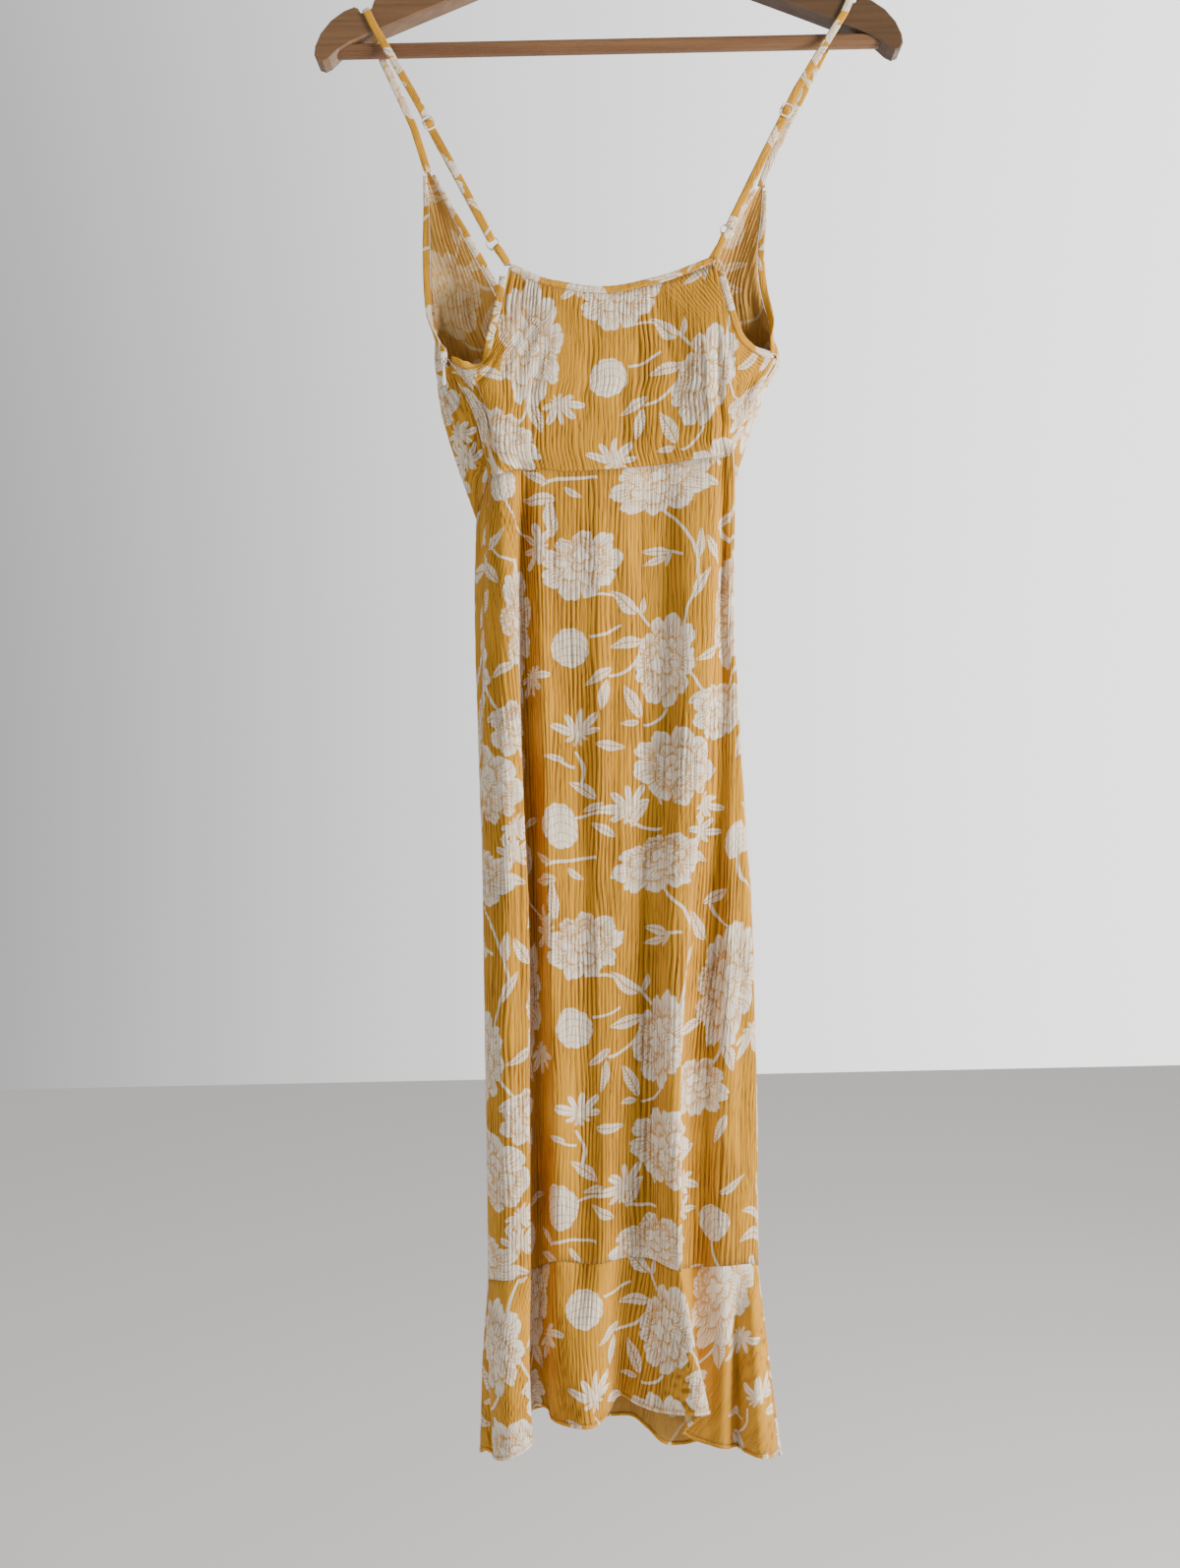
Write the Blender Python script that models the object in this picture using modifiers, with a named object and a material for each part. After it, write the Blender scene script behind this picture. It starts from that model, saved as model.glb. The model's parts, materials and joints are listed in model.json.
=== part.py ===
"""A strappy midi sundress with a crossed front, a side zip and a hem flounce, on a wooden hanger.

The inside of the hanger's hook is the origin, +Z is up, and the back of the dress faces -Y.
Every table is in millimetres. Left and right are those of someone who looks along +Y.
"""

import math

import bpy
import numpy as np

MM = 0.001
WALL = 1.4  # cloth, with its crinkle
SEAM_HALF_GAP = 0.3
LEVEL_SEAM_HALF_GAP = 0.28  # at the waist and the flounce, whose seams slope
SEAM_COLUMN = 1.5  # a narrow column beside each side seam keeps both panels in line there
BINDING_WIDTH = 5.7
BINDING_WALL = 2.0
BINDING_GAP = 0.6
BINDING_END_GAP = 1.8  # where two bindings meet under the arm
FRONT_LAYER_SHIFT = 1.9  # each crossed front stands this far from the middle surface

SKIRT_ROWS = 10
FLOUNCE_ROWS = 6

STRAP_WIDTH = 6.0
STRAP_WALL = 1.8
STRAP_SIDES = 8
RING_RADIUS = 4.2
RING_WIRE = 0.8
SLIDER_SIZE = (8.4, 9.2)  # centre line, across and along the strap
SLIDER_WIRE = 0.6
STRAP_STAND_OFF = 2.4  # from a wire's middle to the strap's middle

ARM_THICKNESS = 14.0
BAR_RADIUS = 5.2
BAR_END_X = 208.0
BAR_Z = -179.0
HOOK_WIRE = 1.75
HOOK_RADIUS = 20.0
HOOK_FOOT_Z = -80.0
HANGER_TOP_Z = -70.0
FIT_GAP = 0.3

ZIP_TOP = (-130.4, -9.8, -419.0)
ZIP_BODY = (5.0, 3.0, 8.0)
ZIP_PIVOT = (-130.4, -12.2, -421.3)
ZIP_TAPE_END_Z = -640.0

# Folds of the skirt, walking round it: first the back, seen left to right, then the front, right to left.
# fold, cuts (columns up to the next fold), then x, y, z at: waist, hip, thigh, knee, shin, flounce seam
SKIRT_FOLDS = (
    ("left_seam", 3, (-98, -10, -513), (-104, -8, -597), (-107, -6, -709), (-109, -5, -844), (-110, -5, -987), (-111, -5, -1123)),
    ("column_left", 2, (-94, -19, -514), (-100, -23, -599), (-103, -25, -710), (-104, -27, -842), (-105, -27, -981), (-106, -27, -1114)),
    ("column_crown", 2, (-89, -24, -513), (-90, -32, -601), (-91, -36, -711), (-91, -38, -841), (-92, -38, -979), (-93, -38, -1110)),
    ("lip", 2, (-81, -22, -510), (-79, -29, -601), (-78, -32, -711), (-75, -33, -842), (-77, -33, -980), (-79, -33, -1109)),
    ("under_lip", 2, (-77, -18, -508), (-79, -17, -599), (-79, -17, -710), (-77, -16, -844), (-79, -16, -985), (-81, -16, -1113)),
    ("groove_floor", 2, (-72, -14, -507), (-73, -5, -597), (-74, 1, -709), (-71, 4, -846), (-71, 4, -991), (-73, 4, -1118)),
    ("groove_rise", 2, (-67, -15, -508), (-67, -10, -598), (-67, -7, -710), (-65, -5, -845), (-65, -5, -988), (-66, -5, -1112)),
    ("left_ridge", 3, (-61, -17, -508), (-61, -18, -599), (-60, -18, -710), (-59, -18, -844), (-58, -18, -985), (-59, -18, -1105)),
    ("back_left", 3, (-38, -17, -510), (-38, -15, -599), (-38, -14, -711), (-38, -13, -845), (-38, -14, -986), (-40, -16, -1108)),
    ("back_mid", 3, (-12, -16, -509), (-14, -17, -600), (-15, -18, -711), (-18, -17, -845), (-21, -21, -985), (-25, -22, -1106)),
    ("back_right", 3, (12, -14, -507), (11, -14, -600), (11, -13, -712), (3, -13, -846), (-3, -12, -988), (-7, -12, -1106)),
    ("soft_valley", 3, (31, -12, -505), (32, -10, -600), (30, -10, -712), (20, -11, -846), (14, -11, -988), (11, -11, -1107)),
    ("right_ridge", 2, (53, -15, -503), (52, -19, -602), (46, -20, -713), (34, -22, -845), (28, -26, -984), (27, -28, -1108)),
    ("right_lip", 2, (72, -15, -501), (68, -18, -602), (60, -20, -713), (45, -23, -846), (35, -28, -984), (34, -31, -1109)),
    ("lip_return", 2, (77, -11, -499), (74, -10, -601), (65, -10, -713), (49, -11, -847), (37, -14, -988), (35, -16, -1114)),
    ("right_valley", 4, (81, -10, -498), (78, -7, -600), (72, -6, -713), (59, -5, -848), (46, -5, -991), (43, -6, -1117)),
    ("right_face", 6, (85, -11, -498), (83, -9, -601), (82, -10, -713), (79, -12, -847), (74, -14, -989), (69, -14, -1113)),
    ("right_seam", 2, (88, -6, -497), (86, -4, -600), (89, -4, -713), (95, -4, -849), (96, -4, -992), (94, -4, -1117)),
    ("right_turn", 3, (88, 3, -522), (87, 4, -604), (90, 4, -715), (95, 4, -852), (96, 4, -996), (95, 5, -1126)),
    ("front_right", 3, (73, 12, -543), (72, 15, -610), (74, 14, -721), (78, 14, -858), (80, 13, -1002), (80, 13, -1133)),
    ("front_fold_1", 4, (48, 16, -548), (46, 19, -612), (48, 17, -724), (52, 18, -861), (54, 18, -1005), (55, 18, -1137)),
    ("front_trough_1", 4, (22, 13, -549), (20, 12, -613), (22, 9, -725), (26, 8, -862), (27, 6, -1006), (28, 6, -1138)),
    ("front_fold_2", 4, (-4, 15, -549), (-6, 18, -613), (-4, 17, -725), (0, 18, -862), (2, 18, -1006), (1, 18, -1138)),
    ("front_trough_2", 4, (-30, 13, -549), (-34, 12, -613), (-32, 10, -725), (-30, 9, -862), (-28, 8, -1006), (-27, 8, -1138)),
    ("front_fold_3", 4, (-56, 16, -548), (-62, 18, -612), (-60, 18, -724), (-59, 19, -861), (-57, 19, -1005), (-56, 19, -1137)),
    ("front_left", 4, (-86, 14, -545), (-92, 14, -609), (-90, 15, -720), (-88, 16, -857), (-88, 16, -1001), (-88, 16, -1133)),
    ("left_turn", 3, (-108, 2, -534), (-111, 2, -597), (-111, 3, -711), (-110, 3, -848), (-111, 4, -992), (-112, 4, -1127)),
)
RIGHT_SEAM = 17
LEFT_SEAM = len(SKIRT_FOLDS)  # the left seam again, after once round

# Folds of the flounce: fold, where it starts along SKIRT_FOLDS, then x, y, z at its middle and its hem
FLOUNCE_FOLDS = (
    ("left_seam", 0.0, (-117, -5, -1189), (-120, -4, -1254)),
    ("dark_fold", 0.4, (-114, -14, -1186), (-115, -12, -1248)),
    ("fold_valley", 0.7, (-111, -18, -1184), (-109, -14, -1250)),
    ("roll_left", 1.0, (-109, -28, -1180), (-108, -27, -1245)),
    ("roll_crown", 2.0, (-95, -42, -1174), (-95, -44, -1236)),
    ("roll_lip", 3.0, (-81, -34, -1175), (-80, -34, -1232)),
    ("under_lip", 4.0, (-83, -17, -1181), (-83, -16, -1230)),
    ("groove_floor", 5.0, (-76, 5, -1176), (-78, 7, -1225)),
    ("groove_rise", 6.0, (-68, -4, -1169), (-68, -2, -1223)),
    ("left_ridge", 7.0, (-63, -16, -1165), (-64, -14, -1225)),
    ("wave_crown", 8.0, (-44, -24, -1168), (-40, -32, -1222)),
    ("wave_side", 9.0, (-27, -21, -1166), (-26, -20, -1222)),
    ("wave_valley", 9.8, (-11, -6, -1162), (-14, 2, -1216)),
    ("back_right", 10.8, (6, -10, -1164), (3, -6, -1220)),
    ("right_ridge", 12.0, (27, -24, -1163), (28, -20, -1219)),
    ("right_crown", 12.5, (37, -29, -1162), (43, -28, -1216)),
    ("right_lip", 13.0, (42, -28, -1163), (52, -26, -1216)),
    ("lip_return", 14.0, (40, -14, -1170), (45, -12, -1228)),
    ("face_left", 14.7, (43, -5, -1176), (36, 0, -1244)),
    ("smooth", 15.5, (58, -8, -1178), (55, -4, -1252)),
    ("smooth_right", 16.0, (71, -11, -1178), (69, -6, -1254)),
    ("right_groove", 16.25, (77, -3, -1184), (77, 5, -1259)),
    ("roll_side", 16.5, (81, -8, -1183), (82, -4, -1258)),
    ("right_roll", 16.75, (90, -17, -1181), (93, -16, -1256)),
    ("right_seam", 17.0, (100, -5, -1186), (107, -5, -1261)),
    ("right_turn", 18.0, (100, 5, -1192), (108, 6, -1264)),
    ("front_right", 19.0, (84, 15, -1197), (88, 17, -1264)),
    ("front_dip", 19.5, (70, 13, -1198), (71, 15, -1262)),
    ("front_fold_1", 20.0, (56, 19, -1200), (54, 20, -1262)),
    ("twist_ridge", 20.6, (40, 14, -1200), (36, 13, -1261)),
    ("front_trough_1", 21.0, (28, 10, -1200), (22, 9, -1258)),
    ("twist_side", 21.5, (16, 15, -1200), (10, 15, -1250)),
    ("front_fold_2", 22.0, (2, 19, -1198), (-2, 19, -1242)),
    ("hidden_side_1", 22.5, (-14, 15, -1197), (-18, 14, -1238)),
    ("front_trough_2", 23.0, (-28, 10, -1196), (-32, 9, -1236)),
    ("hidden_side_2", 23.5, (-42, 15, -1196), (-46, 15, -1235)),
    ("front_fold_3", 24.0, (-58, 20, -1196), (-62, 20, -1233)),
    ("hidden_side_3", 24.5, (-74, 18, -1196), (-78, 19, -1234)),
    ("front_left", 25.0, (-92, 17, -1196), (-96, 16, -1240)),
    ("left_turn", 26.0, (-115, 4, -1194), (-120, 6, -1258)),
)

# Back bodice, one row per level: each point is (place along SKIRT_FOLDS, x, y, z).
# The rows above "underarm" end on the armholes, the others on the side seams.
BACK_BODICE = (
    ("neckline", (0, -80, -10, -354), (5.5, -46, -11, -368), (9.3, -3, -10, -373), (12.5, 34, -11, -367), (17, 77, -10, -352)),
    ("shoulder_blade", (0, -85, -14, -382), (6, -46, -13, -385), (9.3, -4, -12, -388), (12, 34, -12, -386), (15.5, 78, -14, -381), (17, 84, -14, -383)),
    ("armhole_2", (0, -91, -16, -406), (6.5, -49, -14, -404), (9.3, -4, -13, -406), (11.7, 33, -13, -405), (15, 80, -16, -404), (17, 92, -14, -409)),
    ("armhole_3", (0, -98, -15, -426), (1, -93, -17, -424), (7, -49, -14, -420), (9.3, -4, -13, -421), (11.5, 33, -13, -420), (15, 80, -17, -420), (17, 100, -12, -418)),
    ("armhole_low", (0, -111, -15, -431), (1.8, -96, -18, -435), (7.2, -49, -14, -431), (9.3, -5, -13, -432), (11.3, 33, -13, -431), (15, 81, -18, -433), (17, 107, -10, -422)),
    ("armhole_rise", (0, -121, -12, -426), (1.1, -110, -15, -437), (2.2, -96, -18, -444), (7.4, -49, -14, -440), (9.3, -5, -13, -441), (11.2, 32, -13, -440), (15, 81, -18, -443), (17, 116, -7, -424)),
    ("underarm", (0, -130, -6, -419), (1.1, -114, -12, -438), (2.2, -96, -18, -452), (7.5, -50, -14, -450), (9.4, -5, -13, -452), (11.2, 32, -13, -450), (15, 81, -18, -453), (16, 104, -9, -437), (17, 123, -4, -425)),
    ("ribs", (0, -119, -8, -441), (1.1, -107, -13, -449), (2.2, -95, -18, -461), (7.5, -50, -14, -461), (9.4, -5, -13, -462), (11.2, 32, -13, -462), (15, 81, -18, -463), (16, 98, -9, -453), (17, 111, -5, -445)),
    ("midriff", (0, -109, -11, -462), (1.1, -102, -14, -467), (2.2, -94, -18, -473), (7.5, -50, -14, -474), (9.4, -5, -13, -475), (11.2, 32, -13, -475), (15, 82, -18, -475), (16, 94, -10, -468), (17, 103, -5, -465)),
    ("above_waist", (0, -102, -11, -489), (1.1, -97, -16, -491), (2.2, -91, -20, -492), (7.5, -50, -15, -491), (9.4, -6, -14, -492), (11.2, 32, -13, -490), (15, 80, -15, -487), (16, 88, -10, -484), (17, 94, -5, -482)),
)
UNDERARM = 6

# Left front, from its tip at the strap down to the waist. The last point of a row is on the neck edge.
LEFT_FRONT_EDGE = 21.5  # where the neck edge meets the waist
LEFT_FRONT = (
    ("tip", (27, -143.5, 11, -267), (24, -142.2, 11, -267), (21.5, -141, 11, -267)),
    ("upper_1", (27, -142, 11, -289), (24, -136, 13, -289), (21.5, -130, 11, -291)),
    ("upper_2", (27, -142, 11, -320), (24, -129, 14, -320), (21.5, -113, 12, -323)),
    ("bust_top", (27, -142, 11, -352), (24, -119, 15, -352), (21.5, -96, 12, -355)),
    ("bust", (27, -140, 6.5, -386), (26.2, -137, 11, -385), (25, -128, 13.5, -385), (23.5, -106, 15, -386), (21.5, -80, 12, -388)),
    ("armhole_low", (27, -136, -1, -407), (26.3, -138.5, 4.5, -404), (25.4, -131, 12, -402), (23.5, -98, 15, -404), (21.5, -69, 12, -407)),
    ("underarm", (27, -130, -6, -419), (26.1, -138, 2, -416), (25.4, -129, 12, -415), (23.4, -94, 16, -417), (21.5, -60, 12, -422)),
    ("ribs", (27, -119, -8, -441), (26.1, -134, 1, -440), (25.3, -127, 12, -439), (23.3, -88, 16, -442), (21.5, -47, 13, -447)),
    ("midriff", (27, -109, -11, -462), (26.1, -129, 1, -461), (25.2, -121, 12, -462), (23.1, -80, 16, -466), (21.5, -32, 13, -473)),
    ("above_waist", (27, -102, -11, -489), (26.1, -121, 1, -487), (25.1, -113, 12, -491), (22.8, -68, 16, -497), (21.5, -14, 13, -505)),
)

# Right front, in the same order
RIGHT_FRONT_EDGE = 23.5
RIGHT_FRONT = (
    ("tip", (17, 118.5, 11, -284), (20, 117, 11, -284), (23.5, 115.5, 11, -284)),
    ("upper_1", (17, 116, 11, -310), (20, 108, 13, -310), (23.5, 98, 11, -312)),
    ("upper_2", (17, 113, 11, -333), (20, 100, 14, -332), (23.5, 84, 12, -334)),
    ("bust_top", (17, 115, 11, -366), (20, 90, 15, -366), (23.5, 63, 12, -368)),
    ("bust", (17, 120, 6.5, -392), (17.9, 116.5, 11, -391), (19, 108, 13.5, -391), (20.6, 80, 15, -392), (23.5, 47, 12, -394)),
    ("armhole_low", (17, 122.5, 0, -412), (17.8, 125, 5, -409), (18.6, 118, 12, -408), (20.6, 76, 16, -409), (23.5, 39, 12, -410)),
    ("underarm", (17, 123, -4, -425), (17.9, 127, 3, -422), (18.7, 118, 12, -422), (20.7, 73, 16, -422), (23.5, 30, 12, -425)),
    ("ribs", (17, 111, -5, -445), (17.9, 116, 3, -444), (18.8, 109, 12, -444), (20.8, 62, 16, -445), (23.5, 14, 13, -448)),
    ("midriff", (17, 103, -5, -465), (17.9, 107, 3, -466), (18.9, 100, 12, -468), (21, 50, 16, -470), (23.5, -2, 13, -475)),
    ("above_waist", (17, 94, -5, -482), (17.9, 98, 3, -489), (19, 88, 12, -495), (21.2, 37, 15, -500), (23.5, -20, 13, -506)),
)

# One row per strap: side, tip of the front, far strand down from the hanger, slider, ring, back corner
STRAPS = (
    ("left", ((-142.3, 11, -266.5), (-144.2, 10.9, -261), (-147, 10.5, -251), (-153, 10, -231), (-164, 9.4, -206), (-175.6, 9, -180)),
     (-138, -10.6, -241), (-91, -11, -334), (-80.9, -10, -349.4)),
    ("right", ((117.0, 11, -283.5), (118.8, 10.9, -278), (125, 10.5, -263), (139, 10, -235), (155, 9.4, -205), (169, 9, -178)),
     (134, -10.6, -237), (87, -11, -328), (78.0, -10, -348.0)),
)

# Outline of the hanger's left half in x and z: top edge from the middle outwards, notch, end, lower edge
HANGER_HALF = (
    ("top", ((0, -70), (-14, -71), (-32, -77), (-60, -90.5), (-120, -117.5), (-178.5, -143.5))),
    ("notch", ((-180.6, -149.6), (-181.6, -150.3), (-188, -153.2), (-189.4, -152.6))),
    ("end", ((-191, -149.5), (-194, -148.4), (-202, -151.5), (-212, -158.5), (-220, -168), (-224.5, -178),
             (-225.2, -184.5), (-223, -189.6), (-218.5, -191.2), (-213.5, -188.5))),
    ("lower", ((-206, -181.5), (-196, -175.5), (-150, -157), (-108, -140.5), (-64, -123), (-30, -110), (-12, -106))),
)
NOTCH_MIDDLE = (-184.8, -151.75)
ARM_SLOPE = (0.911, 0.412)  # along the left arm's top edge, towards the middle


def clear_scene():
    for obj in list(bpy.data.objects):
        bpy.data.objects.remove(obj, do_unlink=True)


def make_material(name, colour, roughness, metallic=0.0):
    material = bpy.data.materials.new(name)
    material.use_nodes = True
    shader = material.node_tree.nodes["Principled BSDF"]
    shader.inputs["Base Color"].default_value = (*colour, 1.0)
    shader.inputs["Roughness"].default_value = roughness
    shader.inputs["Metallic"].default_value = metallic
    material.diffuse_color = (*colour, 1.0)
    return material


def unit(vector):
    vector = np.asarray(vector, float)
    return vector / np.maximum(np.linalg.norm(vector, axis=-1, keepdims=True), 1e-9)


def through(knots, points, at):
    """A smooth curve through the points, whose knots needn't be evenly spaced, read off at the given places."""
    knots, points, at = np.asarray(knots, float), np.asarray(points, float), np.asarray(at, float)
    shape = (-1,) + (1,) * (points.ndim - 1)
    step = np.diff(knots).reshape(shape)
    rise = np.diff(points, axis=0) / step
    slope = np.empty_like(points)
    slope[1:-1] = (step[:-1] * rise[1:] + step[1:] * rise[:-1]) / (step[:-1] + step[1:])
    slope[0], slope[-1] = rise[0], rise[-1]
    i = np.clip(np.searchsorted(knots, at, side="right") - 1, 0, len(knots) - 2)
    h = (knots[i + 1] - knots[i]).reshape(shape)
    u = (at - knots[i]).reshape(shape) / h
    return (
        (1 + 2 * u) * (1 - u) ** 2 * points[i]
        + u * (1 - u) ** 2 * h * slope[i]
        + u**2 * (3 - 2 * u) * points[i + 1]
        - u**2 * (1 - u) * h * slope[i + 1]
    )


def round_the_ring(knots, points, girth, at):
    """The same for a closed ring, by laying its points out three times."""
    knots, points = np.asarray(knots, float), np.asarray(points, float)
    knots = np.concatenate([knots - girth, knots, knots + girth])
    return through(knots, np.concatenate([points] * 3), at)


def new_object(name, mesh, material, collection):
    obj = bpy.data.objects.new(name, mesh)
    obj.data.materials.append(material)
    collection.objects.link(obj)
    return obj


def grid_mesh(name, grid, closed_rows=False, capped=False):
    """A mesh of quads over a grid of points in millimetres."""
    rows, columns = grid.shape[:2]
    across = columns if closed_rows else columns - 1
    faces = []
    for r in range(rows - 1):
        for c in range(across):
            d = (c + 1) % columns
            faces.append((r * columns + c, r * columns + d, (r + 1) * columns + d, (r + 1) * columns + c))
    if capped:
        faces.append(tuple(reversed(range(columns))))
        faces.append(tuple((rows - 1) * columns + c for c in range(columns)))
    mesh = bpy.data.meshes.new(name)
    mesh.from_pydata((grid.reshape(-1, 3) * MM).tolist(), [], faces)
    mesh.validate()
    mesh.shade_smooth()
    return mesh


def add_cloth(name, grid, wall, material, collection):
    """A sheet of cloth over the grid, its wall half on each side."""
    obj = new_object(name, grid_mesh(name, grid), material, collection)
    solid = obj.modifiers.new("wall", "SOLIDIFY")
    solid.thickness = wall * MM
    solid.offset = 0.0
    solid.use_quality_normals = True
    return obj


def outward_of(edge, inner):
    """The direction out of a panel at each point of its edge, given the points just inside it."""
    along = unit(np.gradient(edge, axis=0))
    inward = inner - edge
    return -unit(inward - np.sum(inward * along, axis=1, keepdims=True) * along)


def drawn_in(grid):
    """The grid with its four edges moved in, so that pieces sewn together don't touch."""
    moved = grid.copy()
    sides = (np.s_[:, 0], np.s_[:, 1], SEAM_HALF_GAP), (np.s_[:, -1], np.s_[:, -2], SEAM_HALF_GAP)
    levels = (np.s_[0], np.s_[1], LEVEL_SEAM_HALF_GAP), (np.s_[-1], np.s_[-2], LEVEL_SEAM_HALF_GAP)
    for edge, inner, by in sides + levels:
        room = 0.4 * np.linalg.norm(grid[inner] - grid[edge], axis=-1, keepdims=True)
        moved[edge] -= outward_of(grid[edge], grid[inner]) * np.minimum(by, room)
    return moved


def edge_strip(edge, outward, widths):
    """Two rows of points just outside an edge, with the ends drawn back from their neighbours."""
    gap = np.full((len(edge), 1), BINDING_GAP)
    gap[-2:] += ((0.25,), (0.75,))
    strip = np.stack([edge + gap * outward, edge + (gap + widths[:, None]) * outward])
    strip[:, 0] += 2 * SEAM_HALF_GAP * unit(strip[:, 1] - strip[:, 0])
    strip[:, -1] += BINDING_END_GAP * unit(strip[:, -2] - strip[:, -1])
    return strip


class Layout:
    """Places round the dress: how far each fold lies along the ring, and the columns of each panel."""

    def __init__(self):
        knee = np.array([row[5] for row in SKIRT_FOLDS], float)
        lengths = np.linalg.norm(np.roll(knee, -1, axis=0) - knee, axis=1)
        self.at_fold = np.concatenate([[0.0], np.cumsum(lengths)])
        self.girth = self.at_fold[-1]
        cuts = [row[1] for row in SKIRT_FOLDS]
        places = [i + k / n for i, n in enumerate(cuts) for k in range(n)] + [float(LEFT_SEAM)]
        places = np.array(places)
        columns = self.along(places)
        seams = self.at_fold[RIGHT_SEAM], self.girth
        beside = (SEAM_COLUMN, seams[0] - SEAM_COLUMN, seams[0] + SEAM_COLUMN, seams[1] - SEAM_COLUMN)
        columns = np.sort(np.concatenate([columns, beside]))
        self.back = columns[columns <= seams[0]]
        self.front = columns[columns >= seams[0]]
        self.right_front = self.front[self.front <= self.along(RIGHT_FRONT_EDGE) + 1e-6]
        self.left_front = self.front[self.front >= self.along(LEFT_FRONT_EDGE) - 1e-6]

    def along(self, place):
        """Distance round the ring of a place given as a fold number and a share of the way to the next."""
        return np.interp(place, np.arange(LEFT_SEAM + 1), self.at_fold)

    def skirt_level(self, level, at):
        points = [row[2 + level] for row in SKIRT_FOLDS]
        return round_the_ring(self.at_fold[:-1], points, self.girth, at)

    def skirt(self, at):
        levels = np.stack([self.skirt_level(k, at) for k in range(6)])
        heights = -levels[:, :, 2].mean(axis=1)
        return through(heights, levels, np.linspace(heights[0], heights[-1], SKIRT_ROWS))

    def flounce(self, at):
        places = self.along([row[1] for row in FLOUNCE_FOLDS])
        levels = [self.skirt_level(5, at)]
        for column in (2, 3):
            points = [row[column] for row in FLOUNCE_FOLDS]
            levels.append(round_the_ring(places, points, self.girth, at))
        return through([0.0, 0.52, 1.0], np.stack(levels), np.linspace(0, 1, FLOUNCE_ROWS))

    def bodice(self):
        """The grids of the back and of the two fronts. From the underarm down they share one curve per row."""
        back, left, right = [], [], []
        for k, (back_row, left_row, right_row) in enumerate(zip(BACK_BODICE, LEFT_FRONT, RIGHT_FRONT)):
            b, f, g = (np.array(row[1:], float) for row in (back_row, left_row, right_row))
            f = f[::-1]
            b_at, f_at, g_at = self.along(b[:, 0]), self.along(f[:, 0]), self.along(g[:, 0])
            if k < UNDERARM:
                back.append(through(b_at, b[:, 1:], self.back))
                left.append(through(f_at, f[:, 1:], self.left_front))
                right.append(through(g_at, g[:, 1:], self.right_front))
                continue
            knots = np.concatenate([f_at - self.girth, b_at[1:], g_at[1:]])
            points = np.concatenate([f[:, 1:], b[1:, 1:], g[1:, 1:]])
            back.append(through(knots, points, self.back))
            left.append(through(knots, points, self.left_front - self.girth))
            right.append(through(knots, points, self.right_front))
        for rows, at in ((back, self.back), (left, self.left_front), (right, self.right_front)):
            rows.append(self.skirt_level(0, at))
        left, right = np.stack(left), np.stack(right)
        left[:, :, 1] -= FRONT_LAYER_SHIFT * ramp(left[:, :, 0], -88, -50)
        right[:, :, 1] += FRONT_LAYER_SHIFT * ramp(-right[:, :, 0], -88, -50)
        return np.stack(back), left, right


def ramp(value, start, end):
    share = np.clip((value - start) / (end - start), 0, 1)
    return share * share * (3 - 2 * share)


def swept(name, path, across, width, wall, material, collection):
    """A flat tube of oval section along the path, its width held along one direction."""
    path = np.asarray(path, float)
    along = unit(np.gradient(path, axis=0))
    across = np.asarray(across, float) - np.sum(np.asarray(across, float) * along, axis=1, keepdims=True) * along
    across = unit(across)
    out = np.cross(along, across)
    width = np.broadcast_to(width, len(path))
    angles = np.arange(STRAP_SIDES) * 2 * math.pi / STRAP_SIDES + math.pi / STRAP_SIDES
    squash = 1 / math.cos(math.pi / STRAP_SIDES)
    rings = [
        path + squash * (math.cos(a) * width[:, None] / 2 * across + math.sin(a) * wall / 2 * out) for a in angles
    ]
    return new_object(name, grid_mesh(name, np.stack(rings, axis=1), True, True), material, collection)


def wire(name, points, radius, closed, material, collection, sides=1):
    """A round wire along the points, as a mesh."""
    curve = bpy.data.curves.new(name, "CURVE")
    curve.dimensions = "3D"
    curve.bevel_depth = radius * MM
    curve.bevel_resolution = sides
    curve.use_fill_caps = True
    spline = curve.splines.new("POLY")
    spline.points.add(len(points) - 1)
    for point, place in zip(spline.points, points):
        point.co = (*(value * MM for value in place), 1.0)
    spline.use_cyclic_u = closed
    guide = bpy.data.objects.new(name + "_guide", curve)
    mesh = bpy.data.meshes.new_from_object(guide)
    bpy.data.objects.remove(guide)
    mesh.shade_smooth()
    mesh.materials.clear()
    return new_object(name, mesh, material, collection)


def box(name, centre, size, material, collection, bevel=0.0):
    x, y, z = (value / 2 for value in size)
    corners = [(i * x, j * y, k * z) for i in (-1, 1) for j in (-1, 1) for k in (-1, 1)]
    faces = [(0, 1, 3, 2), (4, 6, 7, 5), (0, 4, 5, 1), (2, 3, 7, 6), (0, 2, 6, 4), (1, 5, 7, 3)]
    mesh = bpy.data.meshes.new(name)
    mesh.from_pydata((np.array(corners) + centre).__mul__(MM).tolist(), [], faces)
    obj = new_object(name, mesh, material, collection)
    if bevel:
        edge = obj.modifiers.new("edges", "BEVEL")
        edge.width = bevel * MM
        edge.segments = 2
    return obj


def combine(obj, other, operation, helpers):
    """Unites the other solid with the object, or cuts it away, and keeps it as a hidden helper."""
    for collection in list(other.users_collection):
        collection.objects.unlink(other)
    helpers.objects.link(other)
    other.hide_render = True
    other.display_type = "WIRE"
    boolean = obj.modifiers.new(other.name, "BOOLEAN")
    boolean.operation = operation
    boolean.solver = "EXACT"
    boolean.object = other


def cylinder_x(name, start, end, radius, z, sides, material, collection):
    angles = np.arange(sides) * 2 * math.pi / sides
    rings = [[(x, radius * math.cos(a), z + radius * math.sin(a)) for a in angles] for x in (start, end)]
    return new_object(name, grid_mesh(name, np.array(rings), True, True), material, collection)


def add_binding(name, edge, outward, widths, cloth, dress):
    add_cloth(name, edge_strip(edge, outward, widths), BINDING_WALL, cloth, dress)


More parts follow.
